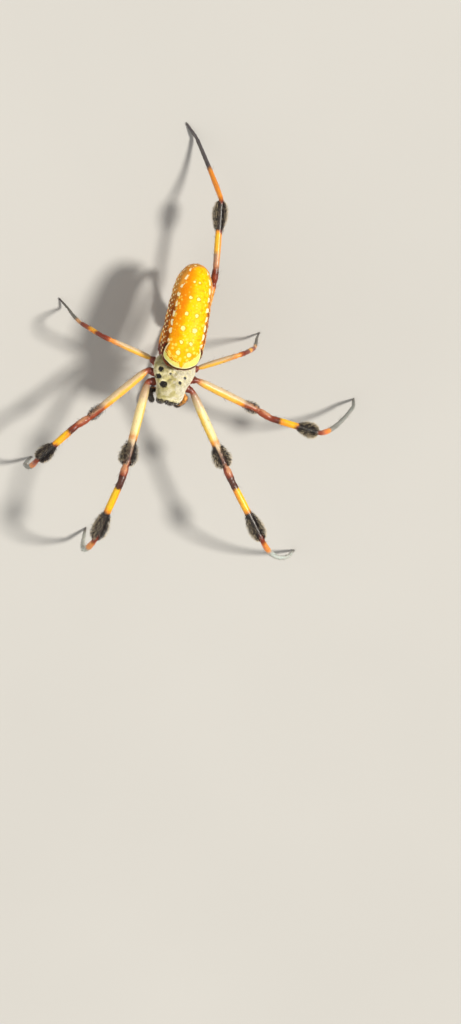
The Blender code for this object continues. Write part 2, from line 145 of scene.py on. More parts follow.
# The segments' lengths, thickness of a pair, and radii. A foot is the metatarsus and tarsus.
SEGMENTS = ("femur", "patella", "tibia", "metatarsus", "tarsus")
LEG_NODES = ("coxa", "femur", "patella", "tibia", "foot")
LENGTHS = {
    1: (18.1, 3.6, 14.6, 20.6, 5.2),
    2: (15.6, 3.2, 11.0, 17.7, 4.5),
    3: (9.0, 2.3, 6.6, 10.2, 3.4),
    4: (15.1, 3.1, 14.3, 16.8, 3.8),
}
THICKNESS = {1: 1.0, 2: 0.94, 3: 0.64, 4: 0.9}
SEGMENT_RADII = {
    "femur": ((0.03, 0.62), (0.12, 0.86), (0.4, 0.95), (0.75, 0.88), (0.95, 0.78)),
    "patella": ((0.12, 0.72), (0.4, 0.82), (0.85, 0.72)),
    "tibia": ((0.05, 0.7), (0.25, 0.77), (0.75, 0.74), (0.96, 0.64)),
    "metatarsus": ((0.03, 0.54), (0.2, 0.58), (0.6, 0.46), (0.98, 0.39)),
    "tarsus": ((0.05, 0.38), (0.5, 0.33), (0.9, 0.24)),
}
# How far the skin is drawn in where the coxa, femur, patella, tibia and metatarsus end
JOINT_WAISTS = (0.17, 0.11, 0.04, 0.13, 0.15)
STANCE = {
    ("left", 1): ((33, -1), (32, 10), (36, 6), (38, -42), (86, -59), 96),
    ("right", 1): ((9, 20), (12, 23), (13, -10), (9, -55), (-105, -82), -160),
    ("left", 2): ((71, -9), (67, 10), (82, 5), (79, -55), (138, -39), 138),
    ("right", 2): ((43, 4), (52, 11), (41, 4), (6, -62), (6, -86), -116),
    ("left", 3): ((119, 14), (107, -37), (96, -64), (109, -74), (96, -79), 134),
    ("right", 3): ((106, -2), (106, -11), (107, -50), (114, -72), (141, -82), 128),
    ("left", 4): ((171, -9), (181, 2), (184, -7), (201, -51), (209, -36), 223),
    ("right", 4): ((195, -22), (184, -60), (-3, -25), (6, 9), (16, -10), 9),
}

# The black brushes: from and to, as shares of the segment, and how far the tips stand off it
FEMUR_BRUSH = {1: (0.69, 0.99, 1.15), 2: (0.74, 0.99, 1.0), 4: (0.74, 0.98, 0.75)}
TIBIA_BRUSH = {1: (0.49, 0.95, 1.0), 2: (0.52, 0.95, 0.95), 4: (0.51, 0.96, 0.9)}

# How far a skin lies inside the solid, where short down covers it and elsewhere
DOWN_DEPTH = 0.12
SKIN_DEPTH = 0.03
# How far every piece keeps inside the solids' box
BOX_MARGIN = 0.02

# Furrows that fan over the carapace, in degrees from the rear
FURROWS = (38, 72, 104)
# Bare black spots on the carapace: across, along and radius
BARE_SPOTS = (
    (-2.93, -3.79, 0.56), (-3.11, -5.3, 0.58), (-1.93, -6.75, 0.78), (-0.89, -4.3, 0.27),
    (2.37, -4.6, 0.33), (1.44, -5.79, 0.38),
)

# Rows of dots down the abdomen's flank: degrees from the top, shift along, radius and how tall they are
FLANK_ROWS = (
    (63.0, 0.3, 0.12, 1.0), (73.0, 0.55, 0.23, 1.3), (87.0, 0.0, 0.3, 1.5), (104.0, 0.5, 0.25, 1.2),
)
DOT_STEP = 1.1
DOT_SOFT = 0.05
DASH_STEP = 1.9
RIM_STEP = 0.5
# The length of a degree round the abdomen
DEGREE = 0.077

# Pale spots along the abdomen's back: along, half spacing and radius
PALE_SPOTS = (
    (0.2, 1.16, 0.44), (2.45, 1.0, 0.36), (5.22, 1.23, 0.46), (8.33, 1.1, 0.33), (11.7, 0.85, 0.29),
    (15.02, 0.58, 0.22),
)


def paired_spots(wider=0.0):
    """The pale spots on both sides: across, along and radius."""
    return [(side * half, along, radius + wider) for along, half, radius in PALE_SPOTS for side in (1, -1)]


def unit(vectors):
    return vectors / np.maximum(np.linalg.norm(vectors, axis=-1, keepdims=True), 1e-9)


def bell(distance, width):
    """A smooth hill that is 1 at no distance."""
    return np.exp(-((distance / width) ** 2))


def step(values, start, end):
    """A smooth rise from 0 to 1 between two values."""
    share = np.clip((values - start) / (end - start), 0.0, 1.0)
    return share * share * (3 - 2 * share)


def smooth_rows(rows, at):
    """The values at places counted in rows, on a smooth curve through all of them."""
    rows = np.asarray(rows, float)
    last = len(rows) - 1
    first = np.clip(np.asarray(at).astype(int), 0, last - 1)
    share = (at - first)[:, None]
    before = rows[np.maximum(first - 1, 0)]
    start = rows[first]
    end = rows[first + 1]
    after = rows[np.minimum(first + 2, last)]
    slope_in = (end - before) / 2
    slope_out = (after - start) / 2
    rise = end - start
    return start + share * (slope_in + share * (3 * rise - 2 * slope_in - slope_out
                                                + share * (slope_in + slope_out - 2 * rise)))


def body_turn():
    pitch = Matrix.Rotation(math.radians(-BODY_PITCH), 3, "X")
    yaw = Matrix.Rotation(math.radians(BODY_YAW), 3, "Z")
    return np.array(pitch @ yaw)


def to_world(points):
    return points @ body_turn().T + np.array(BODY_AT)


def segment_span(pair, segment):
    """Where a segment starts along its leg, and its length."""
    i = SEGMENTS.index(segment)
    return sum(LENGTHS[pair][:i]), LENGTHS[pair][i]


def mirrored(points, side):
    return [(SIDES[side] * x, y, z) for x, y, z in points]


class Skin:
    """Rings of points, from one end of a form to the other, with what the coat needs to know.

    place is each point in the frame of the markings, and away is the angle in degrees from the
    line along the form's back.
    """

    def __init__(self, points, place, away):
        self.points = points
        self.place = place
        self.away = away

    def raise_by(self, heights):
        self.points = self.points + self.normals() * heights[..., None]

    def along(self):
        return unit(np.gradient(self.points, axis=0))

    def normals(self):
        around = np.roll(self.points, -1, axis=1) - np.roll(self.points, 1, axis=1)
        return unit(np.cross(np.gradient(self.points, axis=0), around))

    def areas(self):
        lengthwise = np.diff(self.points, axis=0)
        crosswise = np.roll(self.points, -1, axis=1) - self.points
        return np.linalg.norm(np.cross(lengthwise, crosswise[:-1]), axis=-1)


def degrees_from_top(angle):
    return np.abs((np.degrees(angle) + 90) % 360 - 180)


def body_skin(rows, rings, sides, inset=0.0):
    """The skin of a body form, with the same cross-sections as the solid, finer and inset."""
    at = np.linspace(0, len(rows) - 1, rings + 2)[1:-1]
    y, half_width, top, bottom = smooth_rows(rows, at).T[:, :, None]
    angle = np.linspace(0, math.tau, sides, endpoint=False)
    across, upward = [
        np.sign(share) * np.abs(share) ** (2 / SQUARENESS) for share in (np.cos(angle), np.sin(angle))
    ]
    half_width = np.maximum(half_width - inset, half_width * 0.5)
    half_height = np.maximum((top - bottom) / 2 - inset, (top - bottom) / 4)
    place = np.stack(
        np.broadcast_arrays(half_width * across, y, (top + bottom) / 2 + half_height * upward), axis=-1
    )
    return Skin(to_world(place), place, np.broadcast_to(degrees_from_top(angle), place.shape[:2]))


def tube_skin(path, radii, sides, place=None):
    """The skin of a round tube. Its place is its points, or runs along Y on the tube laid straight."""
    path = np.asarray(path, float)
    tangents = unit(np.gradient(path, axis=0))
    upward = UP
    ups = []
    for tangent in tangents:
        upward = unit(upward - tangent * upward.dot(tangent))
        ups.append(upward)
    ups = np.array(ups)
    outs = np.cross(tangents, ups)
    angle = np.linspace(0, math.tau, sides, endpoint=False)[:, None]
    radii = np.asarray(radii, float)[:, None, None]
    offsets = radii * (np.cos(angle) * outs[:, None] + np.sin(angle) * ups[:, None])
    points = path[:, None] + offsets
    if place is None:
        place = points
    else:
        level = (radii * np.cos(angle), np.asarray(place)[:, None, None], radii * np.sin(angle))
        place = np.concatenate(np.broadcast_arrays(*level), axis=-1)
    return Skin(points, place, np.broadcast_to(degrees_from_top(angle[:, 0]), points.shape[:2]))


# A neck of a small part: how deep and wide it is, and how the part swells beside it
NECK_DEPTH, NECK_WIDTH = 0.2, 0.09
NECK_SWELLING, NECK_REACH, NECK_REACH_SOFT = 0.08, 0.22, 0.1


def body_tube(path, radii, rings, sides, necks=()):
    """A smooth tube in the body's frame, drawn in at each neck, which is counted in path points."""
    at = np.linspace(0, len(path) - 1, rings)
    smooth = smooth_rows([(*point, radius) for point, radius in zip(path, radii)], at)
    size = smooth[:, 3]
    for neck in necks:
        swelling = NECK_SWELLING * bell(np.abs(at - neck) - NECK_REACH, NECK_REACH_SOFT)
        size = size * (1 - NECK_DEPTH * bell(at - neck, NECK_WIDTH) + swelling)
    skin = tube_skin(smooth[:, :3], size, sides)
    skin.place = skin.points
    skin.points = to_world(skin.points)
    return skin


def new_mesh(name, points, quads, triangles):
    """A mesh from arrays of points in millimetres and of corner numbers, kept in the solids' box."""
    low, high = np.array(CAD_BOUNDS) / MM
    points = np.clip(points, low + BOX_MARGIN, high - BOX_MARGIN)
    corners = np.concatenate((quads.ravel(), triangles.ravel())).astype(np.int32)
    counts = np.concatenate((np.full(len(quads), 4), np.full(len(triangles), 3)))
    starts = np.concatenate(((0,), np.cumsum(counts)[:-1])).astype(np.int32)
    mesh = bpy.data.meshes.new(name)
    mesh.vertices.add(len(points))
    mesh.vertices.foreach_set("co", (points * MM).astype(np.float32).ravel())
    mesh.loops.add(len(corners))
    mesh.loops.foreach_set("vertex_index", corners)
    mesh.polygons.add(len(counts))
    mesh.polygons.foreach_set("loop_start", starts)
    mesh.update(calc_edges=True)
    return mesh


def add_values(mesh, name, values):
    """A named value of every point, which the finishes read."""
    kind = "FLOAT_VECTOR" if values.ndim == 2 else "FLOAT"
    layer = mesh.attributes.new(name, kind, "POINT")
    layer.data.foreach_set("vector" if values.ndim == 2 else "value", values.astype(np.float32).ravel())


def new_object(name, data):
    made = bpy.data.objects.new(name, data)
    bpy.context.scene.collection.objects.link(made)
    return made


def add_object(name, mesh, finish, slot, nodes=()):
    """A piece that rides on the body, and stands in for the solids of the nodes."""
    made = new_object(name, mesh)
    mesh.materials.append(finish)
    mesh.shade_smooth()
    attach(made, "root")
    if nodes:
        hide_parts(*nodes)


def joined(skins):
    """The points, faces and values of several skins, each closed by a point at both ends."""
    points, place, away, quads, triangles = [], [], [], [], []
    count = 0
    for skin in skins:
        rings, sides = skin.away.shape
        grid = np.arange(rings * sides).reshape(rings, sides) + count
        following = np.roll(grid, -1, axis=1)
        quads.append(np.stack((grid[:-1], grid[1:], following[1:], following[:-1]), -1).reshape(-1, 4))
        first = np.full(sides, count + rings * sides)
        triangles.append(np.stack((first, grid[0], following[0]), -1))
        triangles.append(np.stack((first + 1, following[-1], grid[-1]), -1))
        for kept, values in ((points, skin.points), (place, skin.place)):
            kept.append(values.reshape(-1, 3))
            kept.append(values[[0, -1]].mean(axis=1))
        away.append(np.append(skin.away.ravel(), (90.0, 90.0)))
        count += rings * sides + 2
    return [np.concatenate(part) for part in (points, place, away, quads, triangles)]


def skin_object(name, skins, finish, slot, nodes=()):
    points, place, away, quads, triangles = joined(skins)
    mesh = new_mesh(name, points, quads, triangles)
    add_values(mesh, "place", place)
    add_values(mesh, "away", away)
    add_object(name, mesh, finish, slot, nodes)


# The coat

class Roots:
    """Places on a skin where hairs grow, with the skin's facts there."""

    def __init__(self, skin, count, draw, weight=None):
        areas = skin.areas()
        if weight is not None:
            areas = areas * weight[:-1]
        flat = areas.ravel() / areas.sum()
        cells = draw.choice(len(flat), size=count, p=flat)
        rings, sides = skin.away.shape
        ring, side = np.divmod(cells, sides)
        self.shares = draw.random((2, count, 1))
        self.corners = (ring, (ring + 1), side, (side + 1) % sides)
        self.points = self.between(skin.points)
        self.place = self.between(skin.place)
        self.normals = unit(self.between(skin.normals()))
        self.along = unit(self.between(skin.along()))
        self.away = self.between(skin.away[..., None])[:, 0]
        self.chart = np.stack(
            ((side + self.shares[1, :, 0]) / sides, (ring + self.shares[0, :, 0]) / rings), -1
        )

    def between(self, values):
        low, high, left, right = self.corners
        lengthwise, crosswise = self.shares
        start = values[low, left] * (1 - crosswise) + values[low, right] * crosswise
        end = values[high, left] * (1 - crosswise) + values[high, right] * crosswise
        return start * (1 - lengthwise) + end * lengthwise


# Shares of a hair's length where it has a ring of three points, and its width there
SHORT_RINGS = ((0.0, 1.0), (0.5, 0.75))
LONG_RINGS = ((0.0, 1.0), (0.45, 0.85), (0.8, 0.5))
BRUSH_RINGS = ((0.0, 1.0), (0.5, 1.0), (0.88, 0.9))
HAIR_CORNERS = [(math.cos(angle), math.sin(angle)) for angle in map(math.radians, (90, 210, 330))]
ROOT_DEPTH = 0.04
# Half the size of a hair's patch on the chart that a bake uses, and the chart's margin
PATCH = 0.0015
CHART_MARGIN = 0.002


def hair_mesh(name, roots, lies, lengths, widths, rises, rings, settle, tones):
    """Closed, tapered, three-sided hairs that leave the skin at a rise and settle towards their lie."""
    count = len(roots.points)
    lies = unit(lies - roots.normals * (lies * roots.normals).sum(-1, keepdims=True))
    across = np.cross(roots.normals, lies)
    lengths = lengths[:, None]
    points = roots.points - roots.normals * ROOT_DEPTH
    middle = np.clip(roots.chart, CHART_MARGIN, 1 - CHART_MARGIN)
    levels, charts, tips = [], [], []
    shares = [share for share, _ in rings] + [1.0]
    for level, (share, width) in enumerate(rings):
        angle = np.radians(rises * (1 - settle * share))[:, None]
        heading = lies * np.cos(angle) + roots.normals * np.sin(angle)
        outward = np.cross(heading, across)
        for right, up in HAIR_CORNERS:
            levels.append(points + (across * right + outward * up) * widths[:, None] * width / 2)
            charts.append(middle + np.array((PATCH * right, PATCH * (2 * share - 1))))
            tips.append(np.full(count, share) * tones)
        points = points + heading * lengths * (shares[level + 1] - share)
    levels.append(points)
    charts.append(middle + np.array((0.0, PATCH)))
    tips.append(np.ones(count) * tones)
    size = len(levels)
    faces = [(0, 1, 2)]
    for level in range(len(rings) - 1):
        for corner in range(3):
            a, b = 3 * level + corner, 3 * level + (corner + 1) % 3
            faces += [(a, a + 3, b + 3), (a, b + 3, b)]
    top = 3 * (len(rings) - 1)
    faces += [(top + corner, size - 1, top + (corner + 1) % 3) for corner in range(3)]
    faces = (np.arange(count)[:, None, None] * size + np.array(faces)).reshape(-1, 3)
    mesh = new_mesh(name, np.stack(levels, 1).reshape(-1, 3), np.zeros((0, 4), np.int32), faces)
    add_values(mesh, "place", np.repeat(roots.place, size, axis=0))
    add_values(mesh, "away", np.repeat(roots.away, size))
    add_values(mesh, "tip", np.stack(tips, 1).ravel())
    chart = mesh.uv_layers.new(name="OFBake")
    corners = np.stack(charts, 1).reshape(-1, 2)[faces.ravel()]
    chart.data.foreach_set("uv", corners.astype(np.float32).ravel())
    return mesh


def coat_mesh(name, roots, draw, spread, lengths, widths, rises, rings=SHORT_RINGS,
              settle=0.5, tones=1.0, scale=1.0):
    """Hairs that lie along the form but for a spread. A pair of values is a range to draw from."""
    count = len(roots.points)
    lies = roots.along + draw.normal(0, spread, (count, 3))
    lengths, widths, rises = [
        draw.uniform(*given, count) if isinstance(given, tuple) else given
        for given in (lengths, widths, rises)
    ]
    return hair_mesh(name, roots, lies, lengths * scale, widths, rises, rings, settle, tones)


# Finishes

# Light that goes a little way into a skin, in metres
SOFT = {"subsurface_weight": 0.08, "subsurface_scale": 0.0004}


def rgb(red, green, blue):
    """The linear colour of screen values of 0 to 255."""
    linear = []
    for value in (red, green, blue):
        value = value / 255
        linear.append(value / 12.92 if value <= 0.04045 else ((value + 0.055) / 1.055) ** 2.4)
    return (*linear, 1.0)


# Places of the share, the two colours and the mixed colour on the mix node
MIX_INPUTS = (0, 6, 7)
MIX_OUTPUT = 2


class Value:
    """A number, place or colour that a finish works out for every point. Arithmetic on it adds nodes."""

    def __init__(self, finish, socket):
        self.finish = finish
        self.socket = socket

    def math(self, operation, other=0.0):
        return self.finish.node("ShaderNodeMath", {0: self, 1: other}, operation=operation)

    __add__ = partialmethod(math, "ADD")
    __sub__ = partialmethod(math, "SUBTRACT")
    __mul__ = partialmethod(math, "MULTIPLY")
    __truediv__ = partialmethod(math, "DIVIDE")
    __pow__ = partialmethod(math, "POWER")
    __abs__ = partialmethod(math, "ABSOLUTE")
    least = partialmethod(math, "MINIMUM")
    most = partialmethod(math, "MAXIMUM")

    def __rsub__(self, other):
        return self.finish.node("ShaderNodeMath", {0: other, 1: self}, operation="SUBTRACT")

    def rise(self, start, end):
        """0 below start and 1 above end, smooth between them. Start may be the larger."""
        sockets = {"Value": self, "From Min": start, "From Max": end, "To Min": 0.0, "To Max": 1.0}
        if start > end:
            sockets |= {"From Min": end, "From Max": start, "To Min": 1.0, "To Max": 0.0}
        return self.finish.node("ShaderNodeMapRange", sockets, interpolation_type="SMOOTHSTEP")

    def mix(self, first, second):
        """The first colour at 0 and the second at 1."""
        return self.finish.mix(self, first, second)

    def vector(self, operation, other=None):
        inputs = {0: self} if other is None else {0: self, 1: other}
        output = "Value" if other is None else "Vector"
        return self.finish.node("ShaderNodeVectorMath", inputs, output, operation=operation)

    def noise(self, scale, detail=2.0, stretch=None):
        at = self.vector("MULTIPLY", stretch) if stretch else self
        inputs = {"Vector": at, "Scale": scale, "Detail": detail}
        return self.finish.node("ShaderNodeTexNoise", inputs, "Fac")

    def cells(self, scale, randomness=1.0):
        """The distance to the nearest of many scattered points."""
        inputs = {"Vector": self, "Scale": scale, "Randomness": randomness}
        return self.finish.node("ShaderNodeTexVoronoi", inputs, "Distance")

    def distance(self, centre):
        return self.vector("SUBTRACT", centre).vector("LENGTH")

    def parts(self):
        node = self.finish.node("ShaderNodeSeparateXYZ", {0: self}).socket.node
        return [Value(self.finish, socket) for socket in node.outputs]

    def bands(self, stops):
        """A colour along a value of 0 to 1 through (value, colour) stops."""
        colour = self.finish.node("ShaderNodeValToRGB", {0: self}, "Color")
        ramp = colour.socket.node.color_ramp
        while len(ramp.elements) < len(stops):
            ramp.elements.new(0.5)
        for element, (at, _) in zip(ramp.elements, stops):
            element.position = at
        for element, (_, colour_there) in zip(ramp.elements, stops):
            element.color = colour_there
        return colour


class Finish:
    """A material that is built from small steps. A number given for a socket is set on the socket."""

    def __init__(self, name, **constants):
        self.material = bpy.data.materials.new(name)
        self.material.use_nodes = True
        self.tree = self.material.node_tree
        self.shader = self.tree.nodes["Principled BSDF"]
        for socket, value in constants.items():
            self.shader.inputs[socket.replace("_", " ").title().replace("Ior", "IOR")].default_value = value

    def join(self, value, socket):
        if isinstance(value, Value):
            self.tree.links.new(value.socket, socket)
        else:
            socket.default_value = value

    def node(self, kind, inputs=(), output=0, **settings):
        made = self.tree.nodes.new(kind)
        for name, value in settings.items():
            setattr(made, name, value)
        for socket, value in dict(inputs).items():
            self.join(value, made.inputs[socket])
        return Value(self, made.outputs[output])

    def read(self, name):
        output = "Vector" if name == "place" else "Fac"
        return self.node("ShaderNodeAttribute", output=output, attribute_name=name)

    def mix(self, share, first, second, blend="MIX"):
        inputs = dict(zip(MIX_INPUTS, (share, first, second)))
        return self.node("ShaderNodeMix", inputs, MIX_OUTPUT, data_type="RGBA", blend_type=blend)

    def bump(self, height, depth):
        inputs = {"Height": height, "Strength": 1.0, "Distance": depth * MM}
        self.join(self.node("ShaderNodeBump", inputs), self.shader.inputs["Normal"])

    def finish(self, colour, roughness=None):
        self.join(colour, self.shader.inputs["Base Color"])
        if roughness is not None:
            self.join(roughness, self.shader.inputs["Roughness"])
        return self.material


# Colours by name, in screen values
COLOURS = {
    "black": (16, 13, 12), "brush": (44, 30, 26), "brush_glint": (226, 208, 172), "coxa": (158, 76, 52),
    "coxa_dark": (104, 34, 20), "mauve": (124, 84, 78), "silver_pink": (222, 196, 154),
    "grey_pink": (170, 138, 112), "beige": (232, 212, 152), "cream": (252, 232, 168),
    "pale_yellow": (255, 212, 84), "warm_yellow": (255, 196, 70), "yellow": (255, 202, 8),
    "deep_yellow": (252, 188, 12), "orange": (252, 156, 30), "deep_orange": (240, 118, 6),
    "tan_orange": (230, 160, 92), "peach": (208, 146, 106), "knee": (158, 68, 32),
    "red_brown": (128, 44, 16), "brown": (78, 28, 12), "blue_grey": (206, 216, 212),
    "pale_grey": (188, 192, 184), "mid_grey": (150, 154, 150), "grey": (112, 110, 104),
    "dark_grey": (80, 74, 80),
}


def named(name):
    return rgb(*COLOURS[name])


# Colours along each pair of legs: share of the segment, or from and to, colour on top, and colour
# beneath where it is another. The colour on top is partly pale hair and partly painted sheen and
# highlight. The coxa has shares below 0.
ROOT_BANDS = ((-0.2, "coxa_dark"), (-0.09, "coxa"), (-0.03, "coxa_dark"), (0.015, "coxa"))
LEG_BANDS = {
    1: {
        "femur": (
            (0.05, "grey_pink"), (0.2, "silver_pink", "beige"), (0.28, 0.6, "cream", "pale_yellow"),
            (0.67, "tan_orange", "orange"), (0.72, "silver_pink", "brush"), (0.8, "grey_pink", "brush"),
            (0.93, "mauve", "brush"),
        ),
        "patella": (
            (0.02, "peach", "red_brown"), (0.35, "peach", "knee"), (0.6, "knee", "red_brown"),
            (0.72, "brown"),
        ),
        "tibia": (
            (0.09, "brown"), (0.12, "yellow", "orange"), (0.42, "yellow", "deep_yellow"),
            (0.48, "orange"), (0.52, 0.86, "brush", "black"), (0.93, 0.99, "red_brown"),
        ),
        "metatarsus": (
            (0.04, "orange", "deep_orange"), (0.2, "orange"), (0.27, "pale_grey"),
            (0.36, "blue_grey", "pale_grey"),
        ),
        "tarsus": ((0.3, "blue_grey", "pale_grey"), (0.8, "grey"), (0.95, "dark_grey")),
    },
    2: {
        "femur": (
            (0.05, "grey_pink", "tan_orange"), (0.12, 0.6, "silver_pink", "warm_yellow"),
            (0.72, "silver_pink", "orange"), (0.79, "grey_pink", "knee"), (0.95, "peach", "knee"),
        ),
        "patella": ((0.06, 0.7, "peach", "knee"),),
        "tibia": (
            (0.02, "knee", "red_brown"), (0.16, "red_brown", "brown"), (0.21, "yellow", "orange"),
            (0.47, "yellow", "deep_yellow"), (0.53, "orange", "red_brown"),
            (0.57, 0.93, "brush", "black"), (0.97, "knee", "red_brown"),
        ),
        "metatarsus": (
            (0.03, "knee"), (0.14, "orange", "deep_orange"), (0.27, "orange"), (0.34, "grey", "mid_grey"),
        ),
        "tarsus": ((0.3, "grey", "mid_grey"), (0.8, "grey"), (0.95, "dark_grey")),
    },
    3: {
        "femur": ((0.07, 0.55, "silver_pink", "warm_yellow"), (0.85, "silver_pink", "tan_orange")),
        "patella": ((0.02, "orange"), (0.35, "knee"), (0.7, "red_brown")),
        "tibia": (
            (0.2, "red_brown"), (0.32, 0.5, "deep_yellow", "orange"), (0.62, "knee"), (0.93, "red_brown"),
        ),
        "metatarsus": ((0.05, 0.16, "beige", "tan_orange"), (0.28, "grey")),
        "tarsus": ((0.2, "grey"), (0.95, "dark_grey")),
    },
    4: {
        "femur": (
            (0.06, "tan_orange", "orange"), (0.18, "beige", "deep_yellow"),
            (0.6, "pale_yellow", "deep_yellow"), (0.9, "tan_orange", "orange"), (0.96, "knee"),
        ),
        "patella": ((0.04, "red_brown"), (0.4, "knee", "red_brown"), (0.9, "red_brown", "brown")),
        "tibia": (
            (0.04, "peach"), (0.2, "grey_pink", "tan_orange"), (0.27, "deep_yellow", "orange"),
            (0.48, "yellow", "orange"), (0.53, "orange", "red_brown"), (0.57, 0.93, "brush", "black"),
            (0.97, "knee", "red_brown"),
        ),
        "metatarsus": ((0.04, 0.46, "orange"), (0.54, "dark_grey")),
        "tarsus": ((0.3, "grey", "dark_grey"), (0.95, "dark_grey")),
    },
}
# The bands start a little before the coxa
LEG_START = -6.0
# How far up and back the colour of the top begins, so that it is a narrow strip on the middle legs; that
# colour is partly painted sheen
TOP_FROM = {1: 0.1, 2: 0.42, 3: 0.4, 4: 0.2}


def leg_stops(pair, face):
    """The stops of a face, 0 or -1, of a pair, as shares of the leg from LEG_START to the toe."""
    whole = sum(LENGTHS[pair]) - LEG_START
    stops = []
    for segment, rows in (("femur", ROOT_BANDS), *LEG_BANDS[pair].items()):
        start, length = segment_span(pair, segment)
        for row in rows:
            colour = named([part for part in row if isinstance(part, str)][face])
            stops += [((start + share * length - LEG_START) / whole, colour)
                      for share in row if isinstance(share, float)]
    return stops


def leg_colour(made, pair):
    """The bands of a pair of legs, with ragged edges, and paler streaks along the top and back, which are
    partly pale hair and partly painted sheen.
    """
    place = made.read("place")
    x, y, z = place.parts()
    whole = sum(LENGTHS[pair]) - LEG_START
    ragged = (place.noise(1.6, 3.0) - 0.5) * 1.1
    at = (y + ragged - LEG_START) / whole
    on_top = at.bands(leg_stops(pair, 0))
    beneath = at.bands(leg_stops(pair, -1))
    streaks = place.noise(2.2, 3.0, (1, 0.12, 1))
    height = (z * 0.5 - x * 0.85) / THICKNESS[pair] + (streaks - 0.5) * 0.8
    # The top and back take the colour on top, which is partly pale hair and partly painted sheen and
    # highlight
    colour = height.rise(TOP_FROM[pair], TOP_FROM[pair] + 0.35).mix(beneath, on_top)
    mottle = place.noise(5.0, 4.0).rise(0.42, 0.7)
    return (mottle * 0.28).mix(colour, made.mix(1.0, colour, (0.45, 0.36, 0.3, 1), "MULTIPLY"))


def leg_finish(pair):
    made = Finish(f"leg_skin_{pair}", specular_ior_level=0.5, coat_weight=0.25, coat_roughness=0.25, **SOFT)
    grain = made.read("place").noise(9.0, 3.0, (1, 0.35, 1))
    made.bump(grain, 0.06)
    return made.finish(leg_colour(made, pair), grain * 0.3 + 0.22)


def leg_down_finish(pair):
    """Short down that takes the colour of the leg beneath it, silvered towards the tips."""
    made = Finish(f"leg_down_{pair}", roughness=0.45, specular_ior_level=0.3)
    tip = made.read("tip").rise(0.1, 1.0) * 0.26
    return made.finish(tip.mix(leg_colour(made, pair), rgb(240, 224, 190)))


def brush_finish():
    """Black-brown bristles, of which many end in a pale tip that is a painted glint of light."""
    made = Finish("brush_bristle", roughness=0.38, sheen_weight=0.2)
    body = made.read("place").noise(6.0).mix(named("black"), rgb(58, 40, 36))
    glinting = made.read("tip").rise(0.56, 0.82)
    return made.finish(glinting.mix(body, named("brush_glint")))


def spot_share(place, spots, soft):
    """1 inside any of the spots, each an x, a y and a radius, with a soft and uneven edge."""
    x, y, _ = place.parts()
    flat = place.finish.node("ShaderNodeCombineXYZ", {0: x, 1: y})
    wobble = (place.noise(1.9) - 0.5) * 0.55
    share = None
    for across, along, radius in spots:
        distance = flat.distance((across, along, 0.0)) + wobble
        inside = distance.rise(radius + soft, radius - soft)
        share = inside if share is None else share.most(inside)
    return share


def carapace_finish():
    made = Finish("carapace_skin", specular_ior_level=0.4)
    place = made.read("place")
    x, y, z = place.parts()
    mottle = place.noise(1.3, 4.0)
    base = mottle.rise(0.35, 0.65).mix(rgb(206, 196, 138), rgb(236, 228, 184))
    base = made.read("away").rise(96.0, 116.0).mix(base, rgb(70, 34, 20))
    ragged = (place.noise(2.4, 4.0) - 0.5) * 1.1
    low = (z + abs(x) * 0.45 + ragged).rise(2.85, 2.55)
    face = (y + ragged).rise(-9.62, -9.92) * low
    base = face.mix(base, mottle.mix(rgb(20, 14, 12), rgb(52, 34, 24)))
    spots = spot_share(place, BARE_SPOTS, 0.06) * z.rise(-0.2, 0.3)
    base = spots.mix(base, rgb(18, 14, 13))
    grain = place.noise(7.0, 4.0)
    made.bump(grain, 0.06)
    return made.finish(base, grain * 0.35 + 0.3)


def carapace_down_finish():
    """Flat silvery down, cream to yellow-green, greyer in patches and whitest at the left and rim; the
    white towards the left and the rear is painted light.
    """
    made = Finish("carapace_down", roughness=0.42, sheen_weight=0.35, sheen_roughness=0.35)
    place = made.read("place")
    x, y, _ = place.parts()
    patches = place.noise(1.0, 4.0).rise(0.42, 0.58)
    colour = patches.mix(rgb(208, 198, 98), rgb(255, 248, 206))
    # Painted light whitens the down towards the left side and the rear
    lit = (x + patches * 2.2 + y.rise(-5.5, -3.5)).rise(0.2, 2.4)
    colour = (lit * 0.85).mix(colour, rgb(255, 252, 240))
    fine = place.noise(2.6, 4.0).rise(0.52, 0.62)
    colour = (fine * 0.6).mix(colour, rgb(158, 142, 90))
    colour = made.read("away").rise(74.0, 84.0).mix(colour, rgb(255, 244, 208))
    tip = made.read("tip") * 0.3
    return made.finish(tip.mix(colour, rgb(255, 250, 232)))


def flank_dots(along, away):
    """1 inside the round dots that stand in staggered rows down the flank."""
    share = None
    for angle, start, radius, height in FLANK_ROWS:
        lengthwise = (along + start).math("PINGPONG", DOT_STEP / 2)
        crosswise = (away - angle) * (DEGREE / height)
        reach = (lengthwise ** 2.0 + crosswise * crosswise).math("SQRT")
        inside = reach.rise(radius + DOT_SOFT, radius - DOT_SOFT)
        share = inside if share is None else share.most(inside)
    return share


